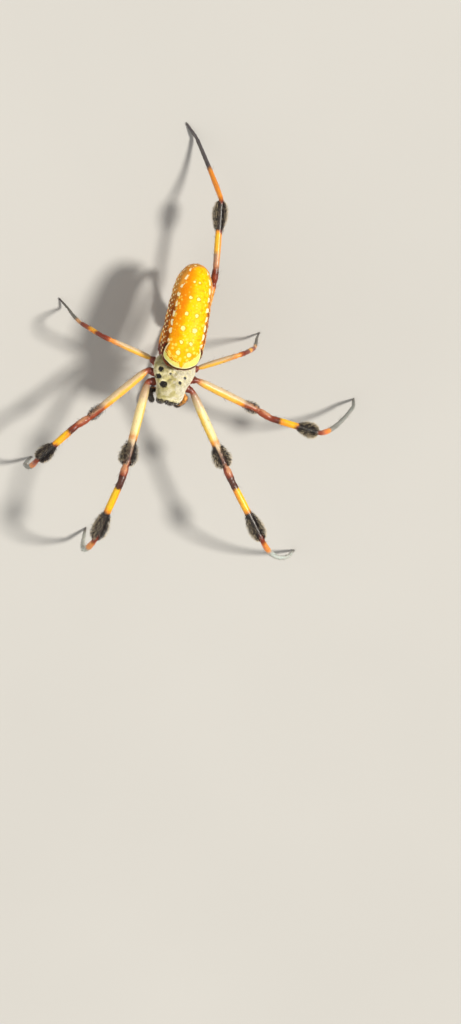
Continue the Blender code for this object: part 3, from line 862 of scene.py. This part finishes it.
def abdomen_colour(made):
    place = made.read("place")
    x, y, z = place.parts()
    away = made.read("away")
    # Yellow along the middle, orange towards the right flank and less so towards the left; the orange on
    # both sides is the skin's own, and the extra orange on the right is painted shade
    drift = (place.noise(0.7, 3.0) - 0.5) * 2.2
    sway = x + drift
    right = (sway - y.rise(7.0, 14.5) * 1.1).rise(-0.5, -2.4) * (y.rise(0.0, 4.0) * 0.5 + 0.5)
    left = sway.rise(2.2, 3.9) * 0.45
    fore = y.rise(3.2, 0.0) * 0.4
    colour = right.most(left).most(fore).mix(rgb(255, 208, 2), rgb(248, 164, 10))
    amber = place.noise(1.3, 3.0).rise(0.52, 0.66) * 0.4
    colour = amber.mix(colour, rgb(238, 146, 0))
    # A deeper orange towards the rear of the right side is painted shade
    right_shade = right * x.rise(-0.4, -2.2) * y.rise(4.0, 10.0) * 0.7
    colour = right_shade.mix(colour, rgb(240, 138, 16))
    # A fine grain of yellow on orange, stronger towards the margins, and pale pebbles
    grain = place.noise(2.7, 3.0).rise(0.56, 0.44) * (away.rise(8.0, 36.0) * 0.3 + 0.06)
    colour = grain.mix(colour, rgb(228, 122, 0))
    margin = y.rise(6.5, 1.0).most(away.rise(22.0, 42.0))
    pebbles = (place.cells(1.2) - (margin * 0.1 + 0.25)).rise(0.1, -0.1) * (margin * 0.45 + 0.4)
    colour = pebbles.mix(colour, rgb(255, 226, 96))
    # Paired pale spots, ringed in orange
    upper = away.rise(70.0, 60.0)
    rings = spot_share(place, paired_spots(0.2), 0.16) * upper * 0.6
    colour = rings.mix(colour, rgb(240, 142, 10))
    spots = spot_share(place, paired_spots(), 0.07) * upper
    colour = spots.mix(colour, rgb(255, 246, 158))
    # The flanks: red-brown with cream dots, and pale dashes along their upper edge
    wander = (place.noise(0.9, 3.0) - 0.5) * 14.0
    # Towards the rear the dark flank reaches higher on the right side, as painted shade
    retreat = y.rise(11.5, 17.0) * x.rise(1.0, -1.0)
    edge = away + wander + retreat * 14.0
    # The blunt ends, where the markings along the sides would run together
    ends = y.rise(17.1, 17.6).most(y.rise(-0.8, -1.6))
    edge = edge + (y - x * 0.12 + wander * 0.05).rise(17.9, 18.6) * 60.0
    streaked = place.noise(0.9, 3.0, (1, 0.5, 1)).rise(0.36, 0.74).mix(rgb(144, 68, 0), rgb(246, 146, 4))
    streaked = (y.rise(9.0, 14.0) * 0.55).mix(streaked, rgb(246, 176, 72))
    streaked = away.rise(118.0, 140.0).mix(streaked, rgb(74, 46, 24))
    # Scattered dots lower down, and staggered rows of round ones along the widest part
    scattered = place.cells(1.0, 0.7).rise(0.3, 0.2).most(place.cells(2.0).rise(0.3, 0.18) * 0.5)
    scattered = scattered * away.rise(92.0, 112.0).most(ends)
    dots = scattered.most(flank_dots(y + drift * 0.2, away) * (1.0 - ends))
    streaked = dots.mix(streaked, rgb(255, 238, 176))
    colour = edge.rise(40.0, 54.0).mix(colour, streaked)
    dashes = ((y + drift * 0.9) * (math.tau / DASH_STEP)).math("SINE").rise(-0.35, 0.1)
    line = (abs(edge - 49.0) - place.noise(1.6, 1.0) * 4.0).rise(3.2, 1.2)
    line = dashes * line * y.rise(1.8, 2.6) * y.rise(17.9, 17.3)
    colour = line.mix(colour, rgb(255, 244, 196))
    # The pale crescent across the front, in front of an inner edge that an orange tongue breaks
    tongue = abs(x - 0.25).rise(0.72, 0.05)
    wave = place.noise(1.8, 3.0) - 0.5
    before = x * (x * 0.18 + 0.2) - 1.75 - tongue * 1.05 + wave - y
    # Wavy pale rims follow the inner edge on the right
    rims = (before * (math.tau / RIM_STEP)).math("SINE").rise(-0.2, 0.8)
    rims = rims * (before.rise(-1.5, -0.3) * x.rise(-0.4, -2.0)) * 0.7
    colour = rims.mix(colour, rgb(255, 234, 110))
    crescent = place.noise(1.4, 3.0).mix(rgb(222, 214, 84), rgb(250, 244, 150))
    colour = before.rise(-0.08, 0.1).mix(colour, crescent)
    line = abs(before + 0.08).rise(0.15, 0.03) * 0.6 * away.rise(62.0, 44.0)
    colour = line.mix(colour, rgb(190, 96, 10))
    # Below the crescent's outer edge the front is painted dark as shade under the overhanging edge, darkest
    # just below it, and the edge itself is creamy
    back = (y + 1.3).most(-0.3).least(3.1)
    over = z - (back * 0.47 + 4.78) + wave * 0.12 - y.rise(-0.8, -2.1) * 0.8
    front = y.rise(2.2, 1.5)
    cream = abs(over - 0.12).rise(0.16, 0.06) * front * 0.7
    colour = cream.mix(colour, rgb(255, 250, 206))
    shaded_front = over.rise(-0.15, -0.7).mix(rgb(40, 16, 6), rgb(122, 46, 8))
    off_end = y.rise(-2.7, -1.3)
    shaded_front = (away.rise(112.0, 124.0) * off_end).mix(shaded_front, rgb(60, 34, 20))
    shaded_front = (dots * over.rise(-0.4, -0.8)).mix(shaded_front, rgb(250, 224, 160))
    colour = (over.rise(0.02, -0.08) * front).mix(colour, shaded_front)
    # Dark belly with a pale cross band behind the furrow
    belly = away.rise(136.0, 150.0) * (off_end * y.rise(18.5, 17.3))
    skin = place.noise(1.2, 3.0).mix(rgb(58, 38, 24), rgb(104, 72, 40))
    skin = place.cells(0.9).rise(0.2, 0.12).mix(skin, rgb(228, 190, 96))
    skin = abs(y - 4.6).rise(0.55, 0.3).mix(skin, rgb(226, 190, 92))
    return belly.mix(colour, skin)


def abdomen_finish():
    made = Finish("abdomen_skin", specular_ior_level=0.1, coat_weight=0.03, coat_roughness=0.3, **SOFT)
    place = made.read("place")
    wrinkles = place.noise(3.0, 3.0, (0.5, 1.6, 0.5))
    made.bump(place.cells(5.0) * 0.5 + wrinkles, 0.07)
    return made.finish(abdomen_colour(made), wrinkles * 0.25 + 0.28)


def abdomen_hair_finish():
    made = Finish("abdomen_hair", roughness=0.5, specular_ior_level=0.12)
    tip = made.read("tip") * 0.12
    return made.finish(tip.mix(abdomen_colour(made), rgb(255, 236, 180)))


# Dark cuticle of the small parts: two colours, scale of their patches, and roughness
DARK_TONES = {
    "claw": ((20, 14, 12), (44, 26, 18), 3.0, 0.3),
    "jaw": ((22, 15, 13), (62, 34, 22), 1.5, 0.22),
    "fang": ((26, 8, 6), (70, 20, 12), 2.0, 0.12),
    "lip": ((48, 24, 14), (104, 62, 34), 3.0, 0.3),
    "waist": ((60, 26, 14), (96, 50, 26), 3.0, 0.3),
    "spinneret": ((46, 24, 14), (112, 66, 36), 2.0, 0.3),
}


def dark_finish(name):
    """Dark cuticle of two tones, with fine grain."""
    first, second, scale, gloss = DARK_TONES[name.split("_")[0]]
    made = Finish(name, specular_ior_level=0.6)
    place = made.read("place")
    tone = place.noise(scale, 4.0).rise(0.35, 0.65)
    grain = place.noise(12.0, 3.0)
    made.bump(grain, 0.04)
    return made.finish(tone.mix(rgb(*first), rgb(*second)), grain * 0.25 + gloss)


def sternum_finish():
    """Dark breastplate with an orange-yellow mark along its middle."""
    made = Finish("sternum_skin", specular_ior_level=0.5)
    place = made.read("place")
    x, y, _ = place.parts()
    wobble = place.noise(1.6, 3.0) * 0.8
    middle = (abs(x) + wobble).rise(1.05, 0.75)
    across = abs(y + 6.0).rise(0.6, 0.35)
    mark = middle.most(across * 0.8)
    made.bump(place.noise(8.0, 3.0), 0.05)
    return made.finish(mark.mix(rgb(52, 28, 18), rgb(226, 138, 36)), 0.42)


def palp_finish():
    """Orange palps whose outer segments are dark, from further in on the right one."""
    made = Finish("palp_skin", specular_ior_level=0.5)
    place = made.read("place")
    x, y, _ = place.parts()
    dark = (y + place.noise(2.5) * 0.4 - x.rise(1.0, -1.0) * 2.6).rise(-10.0, -10.5)
    colour = place.noise(1.8, 3.0).mix(rgb(230, 134, 36), rgb(252, 184, 80))
    made.bump(place.noise(9.0, 3.0), 0.04)
    return made.finish(dark.mix(colour, rgb(48, 38, 34)), 0.4)


def plain_hair_finish(name, root, tip):
    made = Finish(name, roughness=0.42, sheen_weight=0.25)
    tint = made.read("place").noise(5.0)
    share = (made.read("tip") + tint) * 0.5
    return made.finish(share.mix(rgb(*root), rgb(*tip)))


def eye_finish():
    made = Finish("eye_gloss", roughness=0.05, specular_ior_level=0.7, coat_weight=1.0, coat_roughness=0.02)
    cloud = made.read("place").noise(4.0)
    return made.finish(cloud.mix(rgb(8, 6, 6), rgb(40, 22, 16)))


def floor_finish():
    made = Finish("pale_floor", roughness=0.85)
    where = made.node("ShaderNodeTexCoord", output="Object")
    return made.finish(where.noise(12.0, 3.0).mix(rgb(188, 187, 184), rgb(196, 195, 192)))


# Body skins

def over_spots(x, y, spots, width=1.0):
    """How deep each point lies in any of the spots, from 0 outside to 1 at the centre."""
    share = np.zeros_like(x)
    for across, along, radius in spots:
        share = np.maximum(share, bell(np.hypot(x - across, y - along), radius * width))
    return share


def carapace_skin():
    """The head and thorax: domed head parted by a groove, furrows that fan from a pit, and a rim."""
    skin = body_skin(CARAPACE_SKIN, rings=240, sides=220, inset=DOWN_DEPTH)
    x, y, z = np.moveaxis(skin.place, -1, 0)
    top = step(-skin.away, -96, -70)
    heights = np.zeros_like(x)
    # The groove runs from the pit forwards and outwards on both sides
    groove_y = -4.3 - 1.05 * np.abs(x)
    heights -= 0.17 * bell(y - groove_y, 0.75) * step(np.abs(x), 0.2, 1.2) * step(-np.abs(x), -3.4, -2.0)
    heights -= 0.3 * bell(np.hypot(x * 0.8, (y + 4.0) * 0.7), 0.55)
    swing = np.degrees(np.arctan2(np.abs(x), y + 4.2))
    fan = np.hypot(x, y + 4.2)
    for angle in FURROWS:
        heights -= 0.07 * bell(swing - angle, 11.0) * step(fan, 0.9, 1.8) * step(-fan, -3.9, -2.4)
    heights += 0.1 * bell(np.hypot(np.abs(x) - 1.15, (y + 6.9) * 0.8), 0.9)
    heights -= 0.05 * over_spots(x, y, BARE_SPOTS)
    heights *= top
    # The rim over the legs, and the knobs and brow that carry the eyes
    heights += 0.13 * bell(skin.away - 92, 7.0) * step(y, -9.6, -8.4) * step(-y, 0.2, 0.9)
    front = step(-y, 9.4, 10.0)
    heights += 0.16 * bell(np.hypot(np.abs(x) - 2.08, (z - 0.83) * 0.9), 0.42) * front
    heights += 0.1 * bell(np.hypot(x * 0.7, z - 1.6), 0.8) * front
    heights -= 0.1 * bell(z - 0.55, 0.28) * bell(x, 1.3) * front
    skin.raise_by(heights)
    return skin


def abdomen_skin():
    """The abdomen: dented at the spots, folded at the furrow beneath, with lung covers and a lip."""
    skin = body_skin(ABDOMEN, rings=260, sides=240, inset=SKIN_DEPTH)
    x, y, z = np.moveaxis(skin.place, -1, 0)
    top = step(-skin.away, -70, -50)
    below = step(skin.away, 125, 145)
    heights = -0.07 * over_spots(x, y, paired_spots(), 0.7) * top
    folds = np.sin(y * 2.1 + 0.6 * np.sin(x * 1.7))
    heights += 0.05 * folds * step(skin.away, 55, 85) * step(-y, -17.5, -15)
    heights -= 0.22 * bell(y - 3.7 - 0.05 * x * x, 0.2) * below
    heights += 0.16 * bell(np.hypot((np.abs(x) - 2.0) * 0.9, y - 2.2), 0.9) * below
    heights += 0.3 * bell(np.hypot(x, (y - 3.1) * 1.2), 0.45) * below
    skin.raise_by(heights)
    return skin


# Legs

def direction(side, swing, rise):
    """The unit vector of a pair of stance angles."""
    swing = math.radians(swing)
    rise = math.radians(rise)
    return np.array((
        SIDES[side] * math.cos(rise) * math.sin(swing),
        -math.cos(rise) * math.cos(swing),
        math.sin(rise),
    ))


# A metatarsus bends in a few even steps, which are then smoothed to many points
FOOT_STEPS = 8
FOOT_POINTS = 80
RING_GAP = 0.2
LEG_SIDES = 28
# A short moving average that rounds the bends of a path of evenly spaced points
WINDOW = np.array((1, 2, 3, 3, 3, 2, 1)) / 15
# Joints: how far they reach along a leg, and the place of the flares beside them and their size
JOINT_REACH = 0.42
JOINT_FLARES = ((-2.1, 0.07), (2.1, 0.05))
NOTCH = 0.06


def leg_path(side, pair):
    """Points along the middle of a leg, and how far each lies past the femur's root."""
    femur, patella, tibia, metatarsus, metatarsus_end, tarsus_swing = STANCE[side, pair]
    lengths = LENGTHS[pair]
    inner, root = to_world(np.array(mirrored(COXAE[pair], side)))
    points = [inner + (inner - root) * COXA_INWARD, root]
    for angles, length in zip((femur, patella, tibia), lengths):
        points.append(points[-1] + direction(side, *angles) * length)
    first = direction(side, *metatarsus)
    last = direction(side, *metatarsus_end)
    foot = [points[-1]]
    for i in range(FOOT_STEPS):
        heading = unit(first + (last - first) * (i + 0.5) / FOOT_STEPS)
        foot.append(foot[-1] + heading * lengths[3] / FOOT_STEPS)
    points += list(smooth_rows(foot, np.linspace(0, FOOT_STEPS, FOOT_POINTS))[1:])
    wrist = points[-1]
    slope = math.degrees(math.asin(min(wrist[2] / lengths[4], 0.99)))
    points.append(wrist + direction(side, tarsus_swing, -slope) * lengths[4])
    points = np.array(points)
    gaps = np.linalg.norm(np.diff(points, axis=0), axis=1)
    distance = np.concatenate(((0.0,), np.cumsum(gaps)))
    even = np.linspace(0, distance[-1], int(distance[-1] / RING_GAP))
    path = np.stack([np.interp(even, distance, points[:, i]) for i in range(3)], -1)
    margin = len(WINDOW) // 2
    padded = np.pad(path, ((margin, margin), (0, 0)), "edge")
    path = np.stack([np.convolve(padded[:, i], WINDOW, "valid") for i in range(3)], -1)
    return path, even - distance[1]


def leg_radii(pair, distance):
    """The radius along a leg, drawn in at every joint and flared beside it."""
    thickness = THICKNESS[pair]
    coxa_length = math.dist(*COXAE[pair])
    knots = [((share - 1) * coxa_length, radius) for share, radius in COXA_RADII]
    start = 0.0
    joints = [0.0]
    for segment, length in zip(SEGMENTS, LENGTHS[pair]):
        knots += [(start + share * length, radius * thickness) for share, radius in SEGMENT_RADII[segment]]
        start += length
        joints.append(start)
    size = np.interp(distance, *zip(*knots))
    for joint, waist in zip(joints, JOINT_WAISTS):
        reach = JOINT_REACH * thickness
        size = size * (1 - waist * bell(distance - joint, reach))
        for shift, flare in JOINT_FLARES:
            size = size * (1 + flare * bell(distance - joint - shift * reach, reach))
    ends = np.minimum(distance - distance[0], distance[-1] - distance)
    return size * np.sqrt(np.clip(ends / 0.35, 0.05, 1.0))


def leg_skin(side, pair):
    path, distance = leg_path(side, pair)
    radii = leg_radii(pair, distance)
    path[:, 2] = np.maximum(path[:, 2], radii + 0.02)
    skin = tube_skin(path, radii, LEG_SIDES, distance)
    # The place's X faces forwards on both sides
    skin.place[..., 0] *= SIDES[side]
    y = skin.place[..., 1]
    # A notch over the knee and the ankle shows the soft skin of the joint
    heights = np.zeros_like(y)
    for joint in np.cumsum(LENGTHS[pair])[:3]:
        heights -= NOTCH * THICKNESS[pair] * bell(y - joint, 0.5) * step(-skin.away, -70, -20)
    skin.raise_by(heights)
    return skin


CLAW_RINGS = 12
CLAW_RADII = (0.07, 0.012)


def claw_skins(side, pair):
    """Two small hooked claws at the toe, just above the floor."""
    path, _ = leg_path(side, pair)
    heading = unit((path[-1] - path[-8]) * (1, 1, 0))
    across = np.cross(heading, UP)
    skins = []
    for way in (-1, 1):
        base = path[-1] * (1, 1, 0) + UP * 0.2 + across * way * 0.1 - heading * 0.1
        hook = [base, base + heading * 0.25 + UP * 0.08 + across * way * 0.04,
                base + heading * 0.45, base + heading * 0.5 - UP * 0.14]
        smooth = smooth_rows(hook, np.linspace(0, 3, CLAW_RINGS))
        skins.append(tube_skin(smooth, np.linspace(*CLAW_RADII, CLAW_RINGS), sides=8))
    return skins


# In the photo the bristles are shorter than the locks on the femora of these pairs
LOW_BRUSHES = {2: 0.5, 4: 0.2}
# The share of bristles that end in a pale tip, a painted glint of light, fewer on the legs whose brushes
# lie in shade and show darkest
GLINT_TIPPED = {"brush_right_1": 0.34, "brush_right_2": 0.14}
GLINT_TIPPED_ELSE = 0.42


def brush_shares(pair, along):
    """Each brush of a pair: how far along it every point lies, its row and its height's share."""
    for segment, brushes in (("femur", FEMUR_BRUSH), ("tibia", TIBIA_BRUSH)):
        start, length = segment_span(pair, segment)
        low = LOW_BRUSHES.get(pair, 1.0) if segment == "femur" else 1.0
        yield (along - start) / length, brushes[pair], low


def brush_mesh(name, skin, pair, draw):
    """The bristles of a leg's two brushes, bare along the top and tallest in their middle."""
    weight = np.zeros_like(skin.away)
    for share, (first, last, _), low in brush_shares(pair, skin.place[..., 1]):
        inside = step(share, first, first + 0.09) * step(-share, -last - 0.01, 0.02 - last)
        weight = np.maximum(weight, inside * low * low)
    weight = weight * (0.1 + 0.9 * step(skin.away, 14, 40))
    count = BRISTLES[pair]
    roots = Roots(skin, count, draw, weight)
    reach = np.zeros(count)
    for share, (first, last, height), low in brush_shares(pair, roots.place[:, 1]):
        share = (share - first) / (last - first)
        hill = np.sin(np.pi * np.clip(share, 0, 1) ** 1.25) ** 0.8
        reach = np.where((share > -0.1) & (share < 1.1), height * hill * low, reach)
    # Bristles that end in a painted glint of light
    glinting = draw.random(count) < GLINT_TIPPED.get(name, GLINT_TIPPED_ELSE)
    lengths = np.where(glinting, draw.uniform(0.95, 1.2, count), draw.uniform(0.6, 1.1, count))
    flat = step(-roots.away, -34, -12)
    lengths = (0.3 + 1.15 * reach) * lengths * (1 - 0.5 * flat)
    rises = (62 - 46 * flat) + draw.normal(0, 12, count)
    tones = np.where(glinting, 1.0, 0.5)
    return coat_mesh(name, roots, draw, 0.3, lengths, (0.036, 0.056), rises, BRUSH_RINGS, 0.4, tones)


# How many hairs of each kind grow on a leg of each pair, and on the body
BRISTLES = {1: 3000, 2: 2000, 4: 1700}
LEG_DOWN = {1: 5200, 2: 4600, 3: 2600, 4: 4400}
SPINES = {1: 90, 2: 80, 3: 50, 4: 80}
CARAPACE_HAIRS = 17000
ABDOMEN_HAIRS = 5500


def leg_down_mesh(name, skin, pair, draw):
    """Short hairs that lie along the leg, densest on the metatarsus."""
    y = skin.place[..., 1]
    ankle = sum(LENGTHS[pair][:3])
    weight = (0.4 + 1.1 * step(y, ankle, ankle + 3)) * step(y, -2.0, -0.5)
    roots = Roots(skin, LEG_DOWN[pair], draw, weight)
    lengths = draw.uniform(0.28, 0.5, LEG_DOWN[pair]) * (0.6 + 0.4 * THICKNESS[pair])
    return coat_mesh(name, roots, draw, 0.2, lengths, (0.022, 0.034), (12, 30))


def spine_mesh(name, skin, pair, draw):
    """Long, thin, dark hairs that stand off the leg here and there."""
    y = skin.place[..., 1]
    toe = sum(LENGTHS[pair])
    weight = step(y, 1.0, 3.0) * step(-y, 1.5 - toe, 4.0 - toe)
    roots = Roots(skin, SPINES[pair], draw, weight)
    lengths = draw.uniform(0.7, 1.35, SPINES[pair]) * (0.5 + 0.5 * THICKNESS[pair])
    return coat_mesh(name, roots, draw, 0.15, lengths, (0.035, 0.05), (32, 58), LONG_RINGS)


def make_legs(brush, dark_hair):
    for pair in LENGTHS:
        skin_look = leg_finish(pair)
        claw_look = dark_finish(f"claw_{pair}")
        coats = [
            ("down", leg_down_mesh, leg_down_finish(pair), "leg_yellow"),
            ("spines", spine_mesh, dark_hair, "leg_brown"),
        ]
        if pair in BRISTLES:
            coats.append(("brush", brush_mesh, brush, "leg_brown"))
        for side in SIDES:
            draw = np.random.default_rng(10 * pair + (side == "left"))
            skin = leg_skin(side, pair)
            nodes = [f"{segment}_{side}_{pair}" for segment in LEG_NODES]
            skin_object(f"leg_{side}_{pair}", [skin], skin_look, "leg_yellow", nodes)
            skin_object(f"claws_{side}_{pair}", claw_skins(side, pair), claw_look, "dark_skin")
            for kind, make_mesh, look, slot in coats:
                name = f"{kind}_{side}_{pair}"
                add_object(name, make_mesh(name, skin, pair, draw), look, slot)


def carapace_coat(skin, draw):
    """Down that leaves the bare spots, the eyes and most of the face free."""
    x, y, z = np.moveaxis(skin.place, -1, 0)
    bare = over_spots(x, y, BARE_SPOTS) > 0.34
    face = step(-y, 9.62, 9.92) * step(-z - 0.45 * np.abs(x), -2.85, -2.55)
    eyes = np.zeros_like(x)
    for across, up, radius in (*MIDDLE_EYES.values(), *SIDE_EYES):
        eyes = np.maximum(eyes, (np.hypot(np.abs(x) - across, z - up) < radius + 0.08) * step(-y, 9.4, 9.7))
    weight = step(-skin.away, -108, -92) * (1 - 0.98 * bare) * (1 - 0.88 * face) * (1 - eyes)
    roots = Roots(skin, CARAPACE_HAIRS, draw, weight)
    # Shorter on the face, and round the bare spots, which it would cover
    x, y, _ = roots.place.T
    short = (1 - 0.4 * step(-y, 9.2, 10.2)) * (1 - 0.5 * over_spots(x, y, BARE_SPOTS, 1.4))
    return coat_mesh("carapace_down", roots, draw, 0.35, (0.28, 0.5), (0.045, 0.07), (8, 24), scale=short)


def make_body():
    draw = np.random.default_rng(BODY_SEED)
    skin = carapace_skin()
    skin_object("carapace", [skin], carapace_finish(), "carapace", ["prosoma"])
    add_object("carapace_down", carapace_coat(skin, draw), carapace_down_finish(), "carapace")
    skin = abdomen_skin()
    skin_object("abdomen_skin", [skin], abdomen_finish(), "abdomen", ["abdomen"])
    roots = Roots(skin, ABDOMEN_HAIRS, draw)
    mesh = coat_mesh("abdomen_hair", roots, draw, 0.15, (0.22, 0.4), (0.018, 0.028), (18, 40))
    add_object("abdomen_hair", mesh, abdomen_hair_finish(), "abdomen")


# Hairs of the small parts: how many, lengths, width and rises
SMALL_COATS = {
    "jaw": (700, (0.25, 0.5), 0.035, (20, 45)),
    "palp": (1500, (0.3, 0.6), 0.035, (22, 45)),
    "sternum": (900, (0.2, 0.4), 0.03, (20, 45)),
    "spinneret": (300, (0.2, 0.4), 0.03, (20, 45)),
}


def small_coat(name, skin, finish, slot, draw, weight=None):
    count, lengths, width, rises = SMALL_COATS[name.split("_")[0]]
    roots = Roots(skin, count, draw, weight)
    mesh = coat_mesh(name, roots, draw, 0.2, lengths, (width * 0.8, width * 1.2), rises)
    add_object(name, mesh, finish, slot)


def make_mouthparts(dark_hair, draw):
    """Jaws, fangs and palps."""
    jaw_look = dark_finish("jaw_skin")
    fang_look = dark_finish("fang_skin")
    palp_look = palp_finish()
    for side in SIDES:
        jaw = body_tube(mirrored(CHELICERA, side), CHELICERA_RADII, rings=60, sides=40)
        skin_object(f"jaw_{side}", [jaw], jaw_look, "dark_skin", [f"chelicera_{side}"])
        small_coat(f"jaw_hair_{side}", jaw, dark_hair, "dark_skin", draw)
        fang = body_tube(mirrored(FANG, side), FANG_RADII, rings=36, sides=20)
        skin_object(f"fang_skin_{side}", [fang], fang_look, "dark_skin", [f"fang_{side}"])
        palp = body_tube(mirrored(PALP, side), PALP_RADII, PALP_RINGS, 28, PALP_JOINTS)
        skin_object(f"palp_skin_{side}", [palp], palp_look, "leg_yellow", [f"palp_{side}"])
        outer = np.broadcast_to(np.linspace(0, 1, PALP_RINGS)[:, None], palp.away.shape)
        small_coat(f"palp_hair_{side}", palp, dark_hair, "leg_brown", draw, 0.4 + step(outer, 0.6, 0.9))


def spinneret_skins():
    """The spinnerets' base, and a ring of cones on it."""
    skins = [body_tube(SPINNERET_BASE, SPINNERET_BASE_RADII, rings=36, sides=36)]
    base = np.array(SPINNERET_BASE[-1])
    down = unit(base - np.array(SPINNERET_BASE[1]))
    across = np.array((1.0, 0.0, 0.0))
    for i in range(CONES):
        angle = math.tau * (i + 0.5) / CONES
        outward = math.cos(angle) * across + math.sin(angle) * np.cross(down, across)
        root = base + outward * CONE_RING - down * CONE_SUNK
        lean = unit(down + outward * CONE_LEAN)
        path = [root + lean * CONE_LENGTH * share for share in CONE_SHARES]
        skins.append(body_tube(path, CONE_RADII, rings=20, sides=18, necks=CONE_NECKS))
    return skins


def make_underside(draw):
    """Breastplate, lip, waist and spinnerets."""
    hair = plain_hair_finish("pale_hair", (150, 132, 96), (232, 224, 200))
    sternum = body_skin(STERNUM, rings=60, sides=60)
    skin_object("sternum_skin", [sternum], sternum_finish(), "leg_yellow", ["sternum"])
    small_coat("sternum_hair", sternum, hair, "leg_yellow", draw, step(sternum.away, 90, 120))
    lip = body_skin(LABIUM, rings=40, sides=40)
    skin_object("lip", [lip], dark_finish("lip_skin"), "dark_skin", ["labium"])
    waist = body_tube(PEDICEL, PEDICEL_RADII, rings=30, sides=28)
    skin_object("waist", [waist], dark_finish("waist_skin"), "dark_skin", ["pedicel"])
    skins = spinneret_skins()
    skin_object("spinneret_skin", skins, dark_finish("spinneret_skin"), "dark_skin", ["spinnerets"])
    small_coat("spinneret_hair", skins[0], hair, "dark_skin", draw)


def eye_skin(side, eye):
    """A ball set in the face, found by going back from the front until its middle is in the head."""
    across, up, radius = eye
    at = np.arange(0.0, 3.0, 0.01)
    y, half_width, top, bottom = smooth_rows(CARAPACE_SKIN, at).T
    half_width = np.maximum(half_width - DOWN_DEPTH, 0.01)
    half_height = np.maximum((top - bottom) / 2 - DOWN_DEPTH, 0.01)
    rise = np.abs((up - (top + bottom) / 2) / half_height)
    inside = (across / half_width) ** SQUARENESS + rise ** SQUARENESS < 1
    centre = np.array((SIDES[side] * across, y[np.argmax(inside)] - EYE_STANDS_OUT, up))
    angle = np.linspace(0, math.pi, 26)[1:-1]
    path = centre + np.stack((0 * angle, -np.cos(angle) * radius, 0 * angle), -1)
    skin = tube_skin(path, np.sin(angle) * radius, sides=32)
    skin.points = to_world(skin.points)
    return skin


def make_eyes():
    look = eye_finish()
    for side in SIDES:
        for row, eye in MIDDLE_EYES.items():
            skin_object(f"{row}_eye_{side}", [eye_skin(side, eye)], look, "eye", [f"eye_{row}_{side}"])
        both = [eye_skin(side, eye) for eye in SIDE_EYES]
        skin_object(f"side_eyes_{side}", both, look, "eye", [f"eyes_side_{side}"])


# The stage. The camera's angles and the waist's place in the photo were fitted to the photo.

PHOTO_WIDTH, PHOTO_HEIGHT = 461, 1024
WAIST_PIXEL = (177.5, 354.0)
MM_PER_PIXEL = 0.208
CAMERA_DISTANCE = 400.0
CAMERA_TILT, CAMERA_PITCH, CAMERA_LEAN = 10.0, 9.0, 9.5
SENSOR = 36.0
# Lights: direction that each comes from, strength, softness in degrees and colour
LIGHTS = {
    "key": ((0.54, 0.18, 0.85), 3.55, 10, (1.0, 0.95, 0.86)),
    "fill": ((-0.7, -0.3, 0.6), 0.8, 70, (1.0, 0.96, 0.9)),
}
SKY_COLOUR = (1.0, 0.98, 0.95, 1.0)
SKY_STRENGTH = 0.33
FLOOR_HALF = 1.5
FLOOR_CORNERS = ((-1, -1), (1, -1), (1, 1), (-1, 1))


def make_camera():
    focal = CAMERA_DISTANCE / MM_PER_PIXEL
    tilt, pitch, lean = [math.radians(angle) for angle in (CAMERA_TILT, CAMERA_PITCH, CAMERA_LEAN)]
    back = Vector((-math.tan(tilt), math.tan(pitch), 1.0)).normalized()
    up = (Vector((0, 1, 0)) - back * back.y).normalized()
    right = up.cross(back)
    leaned = math.cos(lean) * right + math.sin(lean) * up
    risen = math.cos(lean) * up - math.sin(lean) * right
    to_waist = Vector((
        (WAIST_PIXEL[0] - PHOTO_WIDTH / 2) / focal,
        (PHOTO_HEIGHT / 2 - WAIST_PIXEL[1]) / focal,
        -1.0,
    ))
    aimed = Matrix((leaned, risen, back)).transposed()
    turn = aimed @ to_waist.rotation_difference(Vector((0, 0, -1))).to_matrix()
    data = bpy.data.cameras.new("camera")
    data.sensor_width = SENSOR
    data.lens = focal / PHOTO_HEIGHT * SENSOR
    data.clip_start = 0.01
    camera = new_object("camera", data)
    at = (Vector(BODY_AT) + back * CAMERA_DISTANCE) * MM
    camera.matrix_world = Matrix.Translation(at) @ turn.to_4x4()
    bpy.context.scene.camera = camera


def make_light(name, towards, strength, softness, colour):
    data = bpy.data.lights.new(name, "SUN")
    data.energy = strength
    data.angle = math.radians(softness)
    data.color = colour
    new_object(name, data).rotation_euler = Vector(towards).to_track_quat("Z", "Y").to_euler()


def make_stage():
    mesh = bpy.data.meshes.new("floor")
    mesh.from_pydata([(FLOOR_HALF * x, FLOOR_HALF * y, 0) for x, y in FLOOR_CORNERS], [], [(0, 1, 2, 3)])
    mesh.materials.append(floor_finish())
    new_object("floor", mesh)
    for name, light in LIGHTS.items():
        make_light(name, *light)
    world = bpy.data.worlds.new("world")
    world.use_nodes = True
    background = world.node_tree.nodes["Background"]
    background.inputs["Color"].default_value = SKY_COLOUR
    background.inputs["Strength"].default_value = SKY_STRENGTH
    bpy.context.scene.world = world
    bpy.context.scene.view_settings.view_transform = "Standard"


def main():
    brush = brush_finish()
    dark_hair = plain_hair_finish("dark_hair", (30, 22, 20), (120, 96, 76))
    make_body()
    draw = np.random.default_rng(PARTS_SEED)
    make_mouthparts(dark_hair, draw)
    make_underside(draw)
    make_legs(brush, dark_hair)
    make_eyes()
    make_stage()
    make_camera()


main()
bpy.context.view_layer.update()
